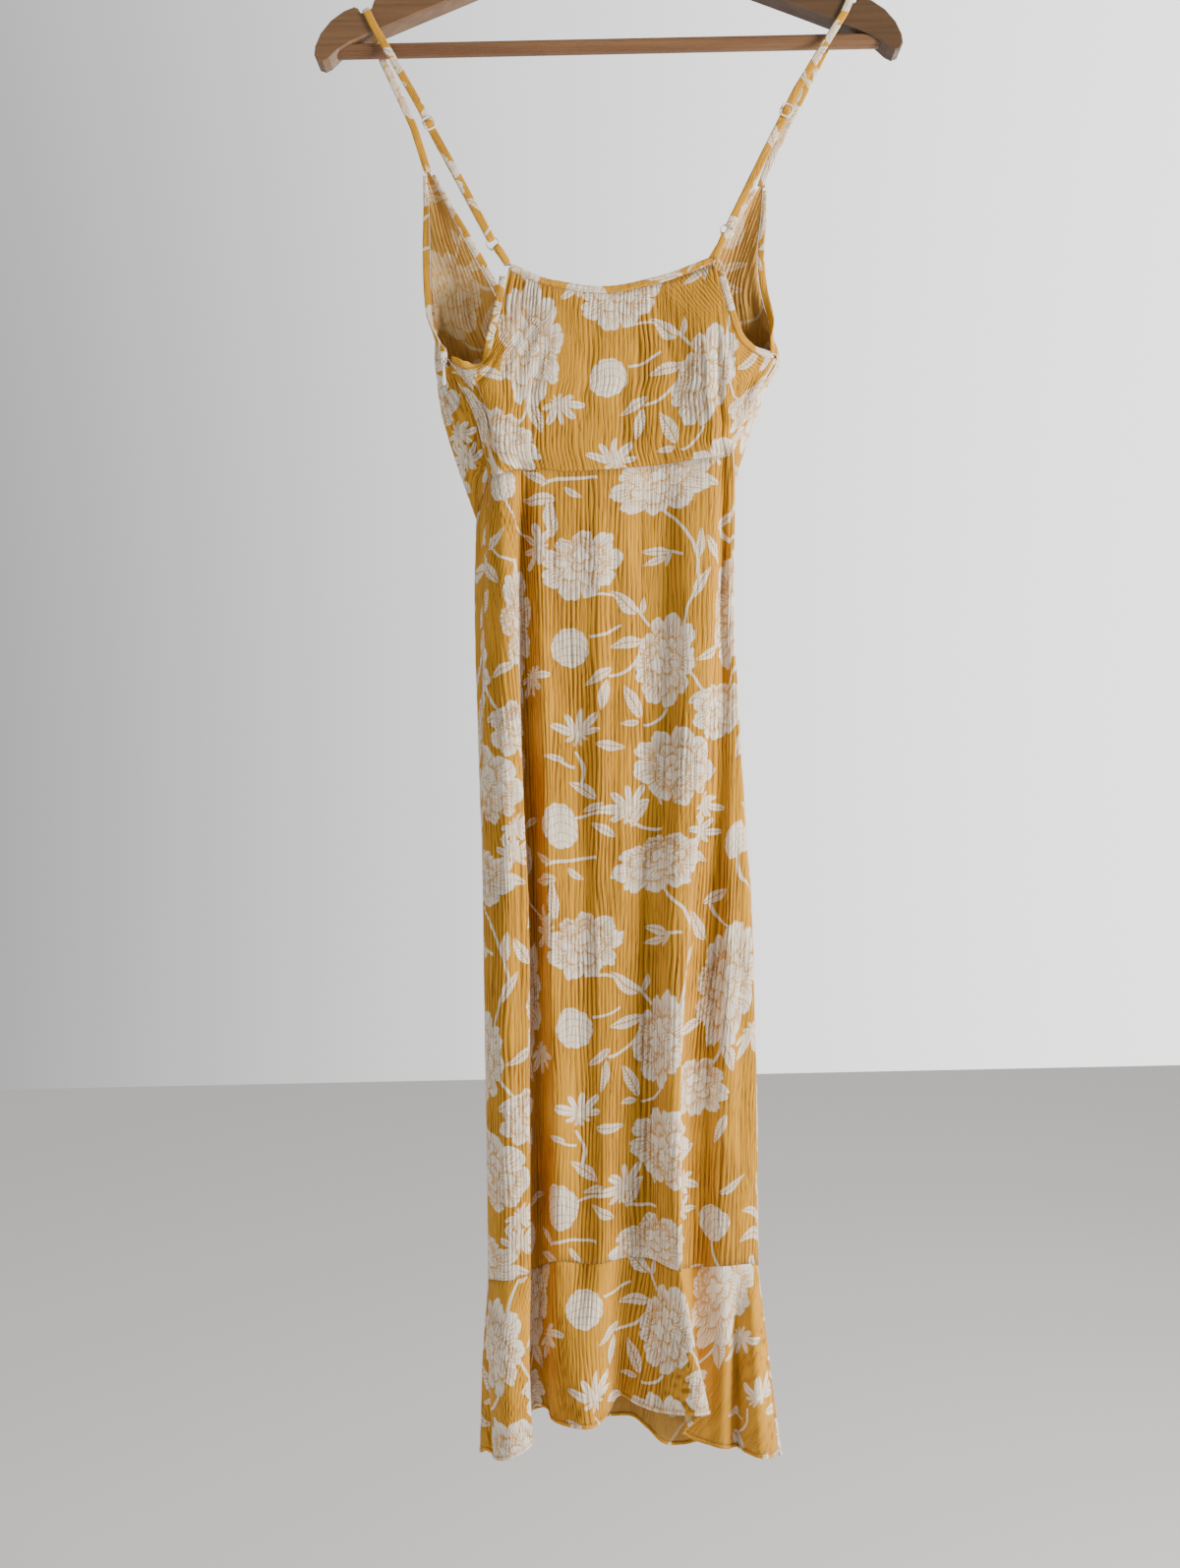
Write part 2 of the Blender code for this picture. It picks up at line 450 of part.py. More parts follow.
def build_dress(cloth, metal, dress):
    layout = Layout()
    back, left, right = layout.bodice()
    skirt_back, skirt_front = layout.skirt(layout.back), layout.skirt(layout.front)
    panels = {
        "bodice_back": back,
        "bodice_front_left": left,
        "bodice_front_right": right,
        "skirt_back": skirt_back,
        "skirt_front": skirt_front,
        "flounce_back": layout.flounce(layout.back),
        "flounce_front": layout.flounce(layout.front),
    }
    for name, grid in panels.items():
        add_cloth(name, drawn_in(grid), WALL, cloth, dress)

    some = np.r_[0, 2 : back.shape[1] - 2 : 2, back.shape[1] - 1]
    full = np.full(len(some), BINDING_WIDTH)
    add_binding("neck_binding_back", back[0, some], outward_of(back[0, some], back[1, some]), full, cloth, dress)
    narrow_tip = np.interp(np.arange(len(left)), (0, 1, 3), (2.6, 4.4, BINDING_WIDTH))
    down = slice(0, UNDERARM + 1)
    for side, front, front_edge, back_edge, step in (("left", left, -1, 0, 1), ("right", right, 0, -1, -1)):
        neck_edge = -1 - front_edge
        edges = [front[down, front_edge], back[down, back_edge]]
        outward = [outward_of(edges[0], front[down, front_edge - step]), outward_of(edges[1], back[down, back_edge + step])]
        outward[0][-1] = outward[1][-1] = unit(outward[0][-1] + outward[1][-1])
        add_binding("armhole_binding_front_" + side, edges[0], outward[0], narrow_tip[down], cloth, dress)
        add_binding("armhole_binding_back_" + side, edges[1], outward[1], full[down], cloth, dress)
        neck, inner = front[:, neck_edge], front[:, neck_edge + step]
        add_binding("neck_binding_front_" + side, neck, outward_of(neck, inner), narrow_tip, cloth, dress)
    build_zip(back, left, skirt_back, skirt_front, cloth, metal, dress)


def build_zip(back, left, skirt_back, skirt_front, cloth, metal, dress):
    """The zip in the left side seam: its tape behind the seam, the slider at the underarm and the pull tab."""
    seam = [back[k, 0] for k in range(UNDERARM, len(back) - 1)]
    behind = [back[k, 1] - left[k, -2] for k in range(UNDERARM, len(back) - 1)]
    for k in range(SKIRT_ROWS):
        if skirt_back[k, 0, 2] > ZIP_TAPE_END_Z:
            seam.append(skirt_back[k, 0])
            behind.append(skirt_back[k, 1] - skirt_front[k, -2])
    seam, behind = np.array(seam), unit(behind)
    down = unit(np.gradient(seam, axis=0))
    inward = unit(np.cross(behind, down))
    inward *= np.sign(np.sum(inward * (np.array((0, 8, 0)) - seam * (1, 1, 0)), axis=1, keepdims=True))
    middle = seam + 2.0 * inward
    middle[0] += 9.0 * down[0]
    tape = np.stack([middle - 2.4 * behind, middle + 2.4 * behind], axis=1)
    add_cloth("zip_tape", tape, 1.0, cloth, dress)


def strap_path(tip_to_hanger, slider, ring, mirrored):
    """Up from the tip of the front, over the hanger's notch, through the slider, round the ring and back."""
    side = -1 if not mirrored else 1
    slider, ring = np.array(slider, float), np.array(ring, float)
    notch = np.array((-NOTCH_MIDDLE[0] * side, 0.0, NOTCH_MIDDLE[1]))
    normal = np.array((ARM_SLOPE[1] * side, 0.0, ARM_SLOPE[0]))
    reach = ARM_THICKNESS / 2 + 0.4 + STRAP_WALL / 2
    over = [
        notch + normal * height + np.array((0.0, y, 0.0))
        for y, height in (
            (reach, -12.0), (reach, -5.0), (reach, -1.0), (reach - 1.0, 0.8), (reach - 3.0, 1.5), (0.0, 1.6),
            (-reach + 3.0, 1.5), (-reach + 1.0, 0.8), (-reach, -1.0), (-reach, -5.0), (-reach, -12.0),
        )
    ]
    down = unit((ring - slider) * (1, 0, 1))
    depth = np.array((0.0, 1.0, 0.0))
    half = SLIDER_SIZE[1] / 2
    weave = [
        slider + down * share * half + depth * off * STRAP_STAND_OFF
        for share, off in (
            (-3.4, 0.3), (-1.6, 0.9), (-1.0, 1.0), (-0.5, 0.0), (0.0, -1.0), (0.5, 0.0), (1.0, 1.0), (1.5, 0.8),
        )
    ]
    top_of_ring = ring - down * RING_RADIUS
    loop = [
        top_of_ring + down * far + depth * off
        for far, off in ((-60, -2.0), (-14, -2.8), (-3, -3.3), (0, -3.3), (2.4, -2.4), (3.3, 0), (2.4, 2.4), (0, 3.3),
                         (-3, 3.3), (-14, 2.5), (-60, 2.6))
    ]
    tail = [slider + down * share * half + depth * off for share, off in ((2.0, 5.6), (1.1, 5.4), (0.3, 4.6))]
    return [*tip_to_hanger, *over, *weave, *loop, *tail], down


def build_straps(cloth, metal, dress, helpers):
    for side, tip_to_hanger, slider, ring, corner in STRAPS:
        path, down = strap_path(tip_to_hanger, slider, ring, side == "right")
        across = np.array((-down[2], 0.0, down[0]))
        swept("strap_" + side, path, across, STRAP_WIDTH, STRAP_WALL, cloth, dress)

        slider, ring, corner = (np.array(place, float) for place in (slider, ring, corner))
        wide, tall = SLIDER_SIZE[0] / 2, SLIDER_SIZE[1] / 2
        frame = []
        for a in np.arange(20) * math.pi / 10:
            x = math.copysign(abs(math.cos(a)) ** 0.6, math.cos(a)) * wide
            z = math.copysign(abs(math.sin(a)) ** 0.6, math.sin(a)) * tall
            frame.append(slider + across * x + down * z)
        body = wire("slider_" + side, frame, SLIDER_WIRE, True, metal, dress)
        bar = wire("slider_bar_" + side, [slider - across * wide, slider + across * wide], SLIDER_WIRE * 0.7,
                   False, metal, helpers)
        combine(body, bar, "UNION", helpers)

        circle = [ring + (RING_RADIUS * math.cos(a), 0.0, RING_RADIUS * math.sin(a))
                  for a in np.arange(18) * math.pi / 9]
        wire("ring_" + side, circle, RING_WIRE, True, metal, dress)

        fall = unit((corner + (0, 0, 3) - ring) * (1, 0, 1))
        depth = np.array((0.0, 1.0, 0.0))
        under = ring + fall * RING_RADIUS
        front_half = [corner - depth * 1.5, corner - depth * 1.6 + (0, 0, 1.5)]
        front_half += [under + fall * far - depth * off for far, off in ((3.0, 2.6), (1.0, 3.0), (-1.2, 2.6), (-2.6, 1.4))]
        back_half = [place + depth * 2 * (ring[1] - place[1]) for place in reversed(front_half)]
        back_half[-2:] = [corner + depth * 1.6 + (0, 0, 1.5), corner + depth * 1.5]
        tab = [*front_half, under - fall * 2.8, *back_half]
        swept("strap_tab_" + side, tab, (-fall[2], 0, fall[0]), STRAP_WIDTH - 0.8, STRAP_WALL, cloth, dress)


def build_zip_pull(metal, dress, helpers):
    body = box("zip_slider", ZIP_TOP, ZIP_BODY, metal, dress, bevel=0.6)
    face = ZIP_TOP[1] - ZIP_BODY[1] / 2
    x, _, z = ZIP_TOP
    arch = [(x, face + 0.8, z + 3.0), (x, face - 1.4, z + 2.8), (x, face - 2.3, z + 1.6), (x, face - 2.3, z - 2.4),
            (x, face - 1.4, z - 3.6), (x, face + 0.8, z - 3.8 + 0.4)]
    bridge = wire("zip_bridge", arch, 0.45, False, metal, helpers)
    combine(body, bridge, "UNION", helpers)

    px, py, pz = ZIP_PIVOT
    tab = box("zip_pull", (px, py, pz - 9.6), (4.0, 1.0, 20.6), metal, dress, bevel=0.3)
    hole = box("zip_pull_hole", (px, py, pz - 2.0), (2.2, 3.0, 3.2), metal, helpers)
    combine(tab, hole, "DIFFERENCE", helpers)


def build_hanger(pale_wood, dark_wood, steel, hanger, helpers):
    half = [point for _, points in HANGER_HALF for point in points]
    outline = half + [(-x, z) for x, z in reversed(half) if x != 0]
    count = len(outline)
    corners = [(x, y, z) for y in (-ARM_THICKNESS / 2, ARM_THICKNESS / 2) for x, z in outline]
    faces = [tuple(range(count)), tuple(reversed(range(count, 2 * count)))]
    faces += [(i, i + count, (i + 1) % count + count, (i + 1) % count) for i in range(count)]
    mesh = bpy.data.meshes.new("hanger_arms")
    mesh.from_pydata((np.array(corners) * MM).tolist(), [], [face[::-1] for face in faces])
    arms = new_object("hanger_arms", mesh, pale_wood, hanger)
    edge = arms.modifiers.new("edges", "BEVEL")
    edge.width = 1.2 * MM
    edge.segments = 1
    edge.limit_method = "ANGLE"
    edge.angle_limit = math.radians(60)

    cylinder_x("hanger_bar", -BAR_END_X, BAR_END_X, BAR_RADIUS, BAR_Z, 20, dark_wood, hanger)
    socket = cylinder_x("bar_socket", -BAR_END_X - FIT_GAP, BAR_END_X + FIT_GAP, BAR_RADIUS + FIT_GAP, BAR_Z, 20,
                        dark_wood, helpers)
    combine(arms, socket, "DIFFERENCE", helpers)
    bore = wire("hook_socket", [(0, 0, HOOK_FOOT_Z - FIT_GAP), (0, 0, HANGER_TOP_Z + 5)], HOOK_WIRE + FIT_GAP, False,
                steel, helpers, 3)
    combine(arms, bore, "DIFFERENCE", helpers)

    reach = HOOK_RADIUS + HOOK_WIRE
    stem = [(0, 0, HOOK_FOOT_Z), (0, 0, -60), (0, 0, -52), (1.2, 0, -47), (4.5, 0, -42.4)]
    turn = [(reach * math.sin(a), 0, -HOOK_RADIUS - reach * math.cos(a)) for a in np.radians(np.arange(24, 301, 12))]
    wire("hanger_hook", stem + turn, HOOK_WIRE, False, steel, hanger, 2)


def main():
    clear_scene()
    scene = bpy.context.scene
    scene.unit_settings.system = "METRIC"
    dress = bpy.data.collections.new("sundress")
    hanger = bpy.data.collections.new("hanger")
    helpers = bpy.data.collections.new("helpers")
    for collection in (dress, hanger, helpers):
        scene.collection.children.link(collection)

    cloth = make_material("printed_crinkle", (0.80, 0.45, 0.09), 0.85)
    cream = make_material("cream_enamel", (0.86, 0.80, 0.70), 0.35)
    pale_wood = make_material("pale_wood", (0.50, 0.30, 0.17), 0.45)
    dark_wood = make_material("bar_wood", (0.38, 0.19, 0.08), 0.45)
    steel = make_material("hook_steel", (0.60, 0.60, 0.60), 0.3, 1.0)

    build_dress(cloth, cream, dress)
    build_straps(cloth, cream, dress, helpers)
    build_zip_pull(cream, dress, helpers)
    build_hanger(pale_wood, dark_wood, steel, hanger, helpers)


main()
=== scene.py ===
"""The looks of a floral crinkle sundress that hangs by its straps on a wooden hanger.

The inside of the hanger's hook is the origin, +Z is up and the back of the dress faces -Y.
Tables and sizes are in millimetres unless a name says otherwise, and meshes are in metres.
Left and right are those of someone who looks along +Y.
"""

from __future__ import annotations

import json
import logging
import math
from dataclasses import dataclass, field
from enum import Enum
from typing import Callable, Sequence, Union

import bpy
import numpy as np
from mathutils import Matrix, Vector

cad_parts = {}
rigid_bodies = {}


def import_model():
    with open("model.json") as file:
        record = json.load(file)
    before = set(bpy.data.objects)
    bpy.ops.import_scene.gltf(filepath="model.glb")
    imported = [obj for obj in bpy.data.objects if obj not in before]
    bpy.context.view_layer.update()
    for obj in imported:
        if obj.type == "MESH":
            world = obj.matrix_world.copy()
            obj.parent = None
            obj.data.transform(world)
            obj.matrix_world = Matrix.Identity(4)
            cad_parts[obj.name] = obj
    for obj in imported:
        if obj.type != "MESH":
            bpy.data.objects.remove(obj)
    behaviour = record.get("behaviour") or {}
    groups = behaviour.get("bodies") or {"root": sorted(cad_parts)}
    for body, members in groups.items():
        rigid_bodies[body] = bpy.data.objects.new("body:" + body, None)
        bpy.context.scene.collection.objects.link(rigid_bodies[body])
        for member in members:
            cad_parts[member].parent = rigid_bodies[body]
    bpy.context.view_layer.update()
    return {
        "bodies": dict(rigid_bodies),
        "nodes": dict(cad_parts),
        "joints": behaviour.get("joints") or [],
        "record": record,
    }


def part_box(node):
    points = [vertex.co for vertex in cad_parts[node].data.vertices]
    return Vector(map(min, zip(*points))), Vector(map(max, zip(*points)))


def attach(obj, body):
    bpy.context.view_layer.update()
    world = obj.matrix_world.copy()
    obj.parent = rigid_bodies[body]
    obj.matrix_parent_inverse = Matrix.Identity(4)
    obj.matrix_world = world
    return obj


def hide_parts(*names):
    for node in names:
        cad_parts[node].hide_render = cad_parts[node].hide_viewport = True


LOG = logging.getLogger("sundress")
MM = 0.001
ROOT = "root"
TAU = 2 * math.pi

Grid = np.ndarray
Path = np.ndarray


class Side(Enum):
    """A side of the dress, as someone who looks at its back sees it."""

    LEFT = "left"
    RIGHT = "right"


class Slot(Enum):
    """A material slot of the record."""

    CLOTH = "printed_crinkle"
    ENAMEL = "cream_enamel"
    COIL = "zip_coil"
    BAR_WOOD = "bar_wood"
    STEEL = "hook_steel"


# Folds of the skirt, walking round it: first the back, seen left to right, then the front, right to left.
# fold, then x, y, z at: waist, hip, thigh, knee, shin, flounce seam
SKIRT_FOLDS = (
    ("left_seam", (-98, -10, -513), (-104, -8, -597), (-107, -6, -709), (-109, -5, -844),
     (-110, -5, -987), (-111, -5, -1123)),
    ("column_left", (-94, -19, -514), (-100, -23, -599), (-103, -25, -710), (-104, -27, -842),
     (-105, -27, -981), (-106, -27, -1114)),
    ("column_crown", (-89, -24, -513), (-90, -32, -601), (-91, -36, -711), (-91, -38, -841),
     (-92, -38, -979), (-93, -38, -1110)),
    ("lip", (-81, -22, -510), (-79, -29, -601), (-78, -32, -711), (-75, -33, -842), (-77, -33, -980),
     (-79, -33, -1109)),
    ("under_lip", (-77, -18, -508), (-79, -17, -599), (-79, -17, -710), (-77, -16, -844),
     (-79, -16, -985), (-81, -16, -1113)),
    ("groove_floor", (-72, -14, -507), (-73, -5, -597), (-74, 1, -709), (-71, 4, -846), (-71, 4, -991),
     (-73, 4, -1118)),
    ("groove_rise", (-67, -15, -508), (-67, -10, -598), (-67, -7, -710), (-65, -5, -845), (-65, -5, -988),
     (-66, -5, -1112)),
    ("left_ridge", (-61, -17, -508), (-61, -18, -599), (-60, -18, -710), (-59, -18, -844),
     (-58, -18, -985), (-59, -18, -1105)),
    ("back_left", (-38, -17, -510), (-38, -15, -599), (-38, -14, -711), (-38, -13, -845),
     (-38, -14, -986), (-40, -16, -1108)),
    ("back_mid", (-12, -16, -509), (-14, -17, -600), (-15, -18, -711), (-18, -17, -845), (-21, -21, -985),
     (-25, -22, -1106)),
    ("back_right", (12, -14, -507), (11, -14, -600), (11, -13, -712), (3, -13, -846), (-3, -12, -988),
     (-7, -12, -1106)),
    ("soft_valley", (31, -12, -505), (32, -10, -600), (30, -10, -712), (20, -11, -846), (14, -11, -988),
     (11, -11, -1107)),
    ("right_ridge", (53, -15, -503), (52, -19, -602), (46, -20, -713), (34, -22, -845), (28, -26, -984),
     (27, -28, -1108)),
    ("right_lip", (72, -15, -501), (68, -18, -602), (60, -20, -713), (45, -23, -846), (35, -28, -984),
     (34, -31, -1109)),
    ("lip_return", (77, -11, -499), (74, -10, -601), (65, -10, -713), (49, -11, -847), (37, -14, -988),
     (35, -16, -1114)),
    ("right_valley", (81, -10, -498), (78, -7, -600), (72, -6, -713), (59, -5, -848), (46, -5, -991),
     (43, -6, -1117)),
    ("right_face", (85, -11, -498), (83, -9, -601), (82, -10, -713), (79, -12, -847), (74, -14, -989),
     (69, -14, -1113)),
    ("right_seam", (88, -6, -497), (86, -4, -600), (89, -4, -713), (95, -4, -849), (96, -4, -992),
     (94, -4, -1117)),
    ("right_turn", (88, 3, -522), (87, 4, -604), (90, 4, -715), (95, 4, -852), (96, 4, -996), (95, 5, -1126)),
    ("front_right", (73, 12, -543), (72, 15, -610), (74, 14, -721), (78, 14, -858), (80, 13, -1002),
     (80, 13, -1133)),
    ("front_fold_1", (48, 16, -548), (46, 19, -612), (48, 17, -724), (52, 18, -861), (54, 18, -1005),
     (55, 18, -1137)),
    ("front_trough_1", (22, 13, -549), (20, 12, -613), (22, 9, -725), (26, 8, -862), (27, 6, -1006),
     (28, 6, -1138)),
    ("front_fold_2", (-4, 15, -549), (-6, 18, -613), (-4, 17, -725), (0, 18, -862), (2, 18, -1006),
     (1, 18, -1138)),
    ("front_trough_2", (-30, 13, -549), (-34, 12, -613), (-32, 10, -725), (-30, 9, -862), (-28, 8, -1006),
     (-27, 8, -1138)),
    ("front_fold_3", (-56, 16, -548), (-62, 18, -612), (-60, 18, -724), (-59, 19, -861), (-57, 19, -1005),
     (-56, 19, -1137)),
    ("front_left", (-86, 14, -545), (-92, 14, -609), (-90, 15, -720), (-88, 16, -857), (-88, 16, -1001),
     (-88, 16, -1133)),
    ("left_turn", (-108, 2, -534), (-111, 2, -597), (-111, 3, -711), (-110, 3, -848), (-111, 4, -992),
     (-112, 4, -1127)),
)
RIGHT_SEAM = 17
LEFT_SEAM = len(SKIRT_FOLDS)  # the left seam again, after once round

# Folds of the flounce: fold, where it starts along SKIRT_FOLDS, then x, y, z at its middle and its hem
FLOUNCE_FOLDS = (
    ("left_seam", 0.0, (-117, -5, -1189), (-120, -4, -1254)),
    ("dark_fold", 0.4, (-114, -14, -1186), (-115, -12, -1248)),
    ("fold_valley", 0.7, (-111, -18, -1184), (-109, -14, -1250)),
    ("roll_left", 1.0, (-109, -28, -1180), (-108, -27, -1245)),
    ("roll_crown", 2.0, (-95, -42, -1174), (-95, -44, -1236)),
    ("roll_lip", 3.0, (-81, -34, -1175), (-80, -34, -1232)),
    ("under_lip", 4.0, (-83, -17, -1181), (-83, -16, -1230)),
    ("groove_floor", 5.0, (-76, 5, -1176), (-78, 7, -1225)),
    ("groove_rise", 6.0, (-68, -4, -1169), (-68, -2, -1223)),
    ("left_ridge", 7.0, (-63, -16, -1165), (-64, -14, -1225)),
    ("wave_crown", 8.0, (-44, -24, -1168), (-40, -32, -1222)),
    ("wave_side", 9.0, (-27, -21, -1166), (-26, -20, -1222)),
    ("wave_valley", 9.8, (-11, -6, -1162), (-14, 2, -1216)),
    ("back_right", 10.8, (6, -10, -1164), (3, -6, -1220)),
    ("right_ridge", 12.0, (27, -24, -1163), (28, -20, -1219)),
    ("right_crown", 12.5, (37, -29, -1162), (43, -28, -1216)),
    ("right_lip", 13.0, (42, -28, -1163), (52, -26, -1216)),
    ("lip_return", 14.0, (40, -14, -1170), (45, -12, -1228)),
    ("face_left", 14.7, (43, -5, -1176), (36, 0, -1244)),
    ("smooth", 15.5, (58, -8, -1178), (55, -4, -1252)),
    ("smooth_right", 16.0, (71, -11, -1178), (69, -6, -1254)),
    ("right_groove", 16.25, (77, -3, -1184), (77, 5, -1259)),
    ("roll_side", 16.5, (81, -8, -1183), (82, -4, -1258)),
    ("right_roll", 16.75, (90, -17, -1181), (93, -16, -1256)),
    ("right_seam", 17.0, (100, -5, -1186), (107, -5, -1261)),
    ("right_turn", 18.0, (100, 5, -1192), (108, 6, -1264)),
    ("front_right", 19.0, (84, 15, -1197), (88, 17, -1264)),
    ("front_dip", 19.5, (70, 13, -1198), (71, 15, -1262)),
    ("front_fold_1", 20.0, (56, 19, -1200), (54, 20, -1262)),
    ("twist_ridge", 20.6, (40, 14, -1200), (36, 13, -1261)),
    ("front_trough_1", 21.0, (28, 10, -1200), (22, 9, -1258)),
    ("twist_side", 21.5, (16, 15, -1200), (10, 15, -1250)),
    ("front_fold_2", 22.0, (2, 19, -1198), (-2, 19, -1242)),
    ("hidden_side_1", 22.5, (-14, 15, -1197), (-18, 14, -1238)),
    ("front_trough_2", 23.0, (-28, 10, -1196), (-32, 9, -1236)),
    ("hidden_side_2", 23.5, (-42, 15, -1196), (-46, 15, -1235)),
    ("front_fold_3", 24.0, (-58, 20, -1196), (-62, 20, -1233)),
    ("hidden_side_3", 24.5, (-74, 18, -1196), (-78, 19, -1234)),
    ("front_left", 25.0, (-92, 17, -1196), (-96, 16, -1240)),
    ("left_turn", 26.0, (-115, 4, -1194), (-120, 6, -1258)),
)

# Back bodice, one row per level: each point is (place along SKIRT_FOLDS, x, y, z).
# The rows above "underarm" end on the armholes, the others on the side seams.
BACK_BODICE = (
    ("neckline", (0, -80, -10, -354), (5.5, -46, -11, -368), (9.3, -3, -10, -373), (12.5, 34, -11, -367),
     (17, 77, -10, -352)),
    ("shoulder_blade", (0, -85, -14, -382), (6, -46, -13, -385), (9.3, -4, -12, -388),
     (12, 34, -12, -386), (15.5, 78, -14, -381), (17, 84, -14, -383)),
    ("armhole_2", (0, -91, -16, -406), (6.5, -49, -14, -404), (9.3, -4, -13, -406), (11.7, 33, -13, -405),
     (15, 80, -16, -404), (17, 92, -14, -409)),
    ("armhole_3", (0, -98, -15, -426), (1, -93, -17, -424), (7, -49, -14, -420), (9.3, -4, -13, -421),
     (11.5, 33, -13, -420), (15, 80, -17, -420), (17, 100, -12, -418)),
    ("armhole_low", (0, -111, -15, -431), (1.8, -96, -18, -435), (7.2, -49, -14, -431),
     (9.3, -5, -13, -432), (11.3, 33, -13, -431), (15, 81, -18, -433), (17, 107, -10, -422)),
    ("armhole_rise", (0, -121, -12, -426), (1.1, -110, -15, -437), (2.2, -96, -18, -444),
     (7.4, -49, -14, -440), (9.3, -5, -13, -441), (11.2, 32, -13, -440), (15, 81, -18, -443),
     (17, 116, -7, -424)),
    ("underarm", (0, -130, -6, -419), (1.1, -114, -12, -438), (2.2, -96, -18, -452),
     (7.5, -50, -14, -450), (9.4, -5, -13, -452), (11.2, 32, -13, -450), (15, 81, -18, -453),
     (16, 104, -9, -437), (17, 123, -4, -425)),
    ("ribs", (0, -119, -8, -441), (1.1, -107, -13, -449), (2.2, -95, -18, -461), (7.5, -50, -14, -461),
     (9.4, -5, -13, -462), (11.2, 32, -13, -462), (15, 81, -18, -463), (16, 98, -9, -453),
     (17, 111, -5, -445)),
    ("midriff", (0, -109, -11, -462), (1.1, -102, -14, -467), (2.2, -94, -18, -473),
     (7.5, -50, -14, -474), (9.4, -5, -13, -475), (11.2, 32, -13, -475), (15, 82, -18, -475),
     (16, 94, -10, -468), (17, 103, -5, -465)),
    ("above_waist", (0, -102, -11, -489), (1.1, -97, -16, -491), (2.2, -91, -20, -492),
     (7.5, -50, -15, -491), (9.4, -6, -14, -492), (11.2, 32, -13, -490), (15, 80, -15, -487),
     (16, 88, -10, -484), (17, 94, -5, -482)),
)
UNDERARM = 6

# Left front, from its tip at the strap down to the waist. The last point of a row is on the neck edge.
LEFT_FRONT_EDGE = 21.5  # where the neck edge meets the waist
LEFT_FRONT = (
    ("tip", (27, -143.5, 11, -267), (24, -142.2, 11, -267), (21.5, -141, 11, -267)),
    ("upper_1", (27, -142, 11, -289), (24, -136, 13, -289), (21.5, -130, 11, -291)),
    ("upper_2", (27, -142, 11, -320), (24, -129, 14, -320), (21.5, -113, 12, -323)),
    ("bust_top", (27, -142, 11, -352), (24, -119, 15, -352), (21.5, -96, 12, -355)),
    ("bust", (27, -140, 6.5, -386), (26.2, -137, 11, -385), (25, -128, 13.5, -385),
     (23.5, -106, 15, -386), (21.5, -80, 12, -388)),
    ("armhole_low", (27, -136, -1, -407), (26.3, -138.5, 4.5, -404), (25.4, -131, 12, -402),
     (23.5, -98, 15, -404), (21.5, -69, 12, -407)),
    ("underarm", (27, -130, -6, -419), (26.1, -138, 2, -416), (25.4, -129, 12, -415),
     (23.4, -94, 16, -417), (21.5, -60, 12, -422)),
    ("ribs", (27, -119, -8, -441), (26.1, -134, 1, -440), (25.3, -127, 12, -439), (23.3, -88, 16, -442),
     (21.5, -47, 13, -447)),
    ("midriff", (27, -109, -11, -462), (26.1, -129, 1, -461), (25.2, -121, 12, -462),
     (23.1, -80, 16, -466), (21.5, -32, 13, -473)),
    ("above_waist", (27, -102, -11, -489), (26.1, -121, 1, -487), (25.1, -113, 12, -491),
     (22.8, -68, 16, -497), (21.5, -14, 13, -505)),
)

# Right front, in the same order
RIGHT_FRONT_EDGE = 23.5
RIGHT_FRONT = (
    ("tip", (17, 118.5, 11, -284), (20, 117, 11, -284), (23.5, 115.5, 11, -284)),
    ("upper_1", (17, 116, 11, -310), (20, 108, 13, -310), (23.5, 98, 11, -312)),
    ("upper_2", (17, 113, 11, -333), (20, 100, 14, -332), (23.5, 84, 12, -334)),
    ("bust_top", (17, 115, 11, -366), (20, 90, 15, -366), (23.5, 63, 12, -368)),
    ("bust", (17, 120, 6.5, -392), (17.9, 116.5, 11, -391), (19, 108, 13.5, -391), (20.6, 80, 15, -392),
     (23.5, 47, 12, -394)),
    ("armhole_low", (17, 122.5, 0, -412), (17.8, 125, 5, -409), (18.6, 118, 12, -408),
     (20.6, 76, 16, -409), (23.5, 39, 12, -410)),
    ("underarm", (17, 123, -4, -425), (17.9, 127, 3, -422), (18.7, 118, 12, -422), (20.7, 73, 16, -422),
     (23.5, 30, 12, -425)),
    ("ribs", (17, 111, -5, -445), (17.9, 116, 3, -444), (18.8, 109, 12, -444), (20.8, 62, 16, -445),
     (23.5, 14, 13, -448)),
    ("midriff", (17, 103, -5, -465), (17.9, 107, 3, -466), (18.9, 100, 12, -468), (21, 50, 16, -470),
     (23.5, -2, 13, -475)),
    ("above_waist", (17, 94, -5, -482), (17.9, 98, 3, -489), (19, 88, 12, -495), (21.2, 37, 15, -500),
     (23.5, -20, 13, -506)),
)

# One row per strap: side, tip of the front, far strand down from the hanger, slider, ring, back corner
STRAPS = (
    ("left", ((-142.3, 11, -266.5), (-144.2, 10.9, -261), (-147, 10.5, -251), (-153, 10, -231),
     (-164, 9.4, -206), (-175.6, 9, -180)),
     (-138, -10.6, -241), (-91, -11, -334), (-80.9, -10, -349.4)),
    ("right", ((117.0, 11, -283.5), (118.8, 10.9, -278), (125, 10.5, -263), (139, 10, -235),
     (155, 9.4, -205), (169, 9, -178)),
     (134, -10.6, -237), (87, -11, -328), (78.0, -10, -348.0)),
)

# Values at each vertex, for the cloth's material: how far into a crinkle groove it lies, which sets painted
# shade there, and which face of the cloth it is on
GROOVE_SHADE = "groove"
REVERSE = "reverse"

# The panels
WALL = 1.0
SEAM_GAP = 0.12  # half of what parts two sewn panels
COLUMN_STEP, ROW_STEP, BODICE_ROW_STEP = 0.72, 6.5, 3.2
SKIRT_LENGTH = 615
FLOUNCE_ROWS = 35
FLOUNCE_MIDDLE = 0.52  # where the flounce's middle level lies on its way down
FRONT_LAYER_SHIFT = 1.9  # parts the two fronts where they cross
SHIFT_X = (-88, -50)  # the shift comes in between these places, mirrored on the right

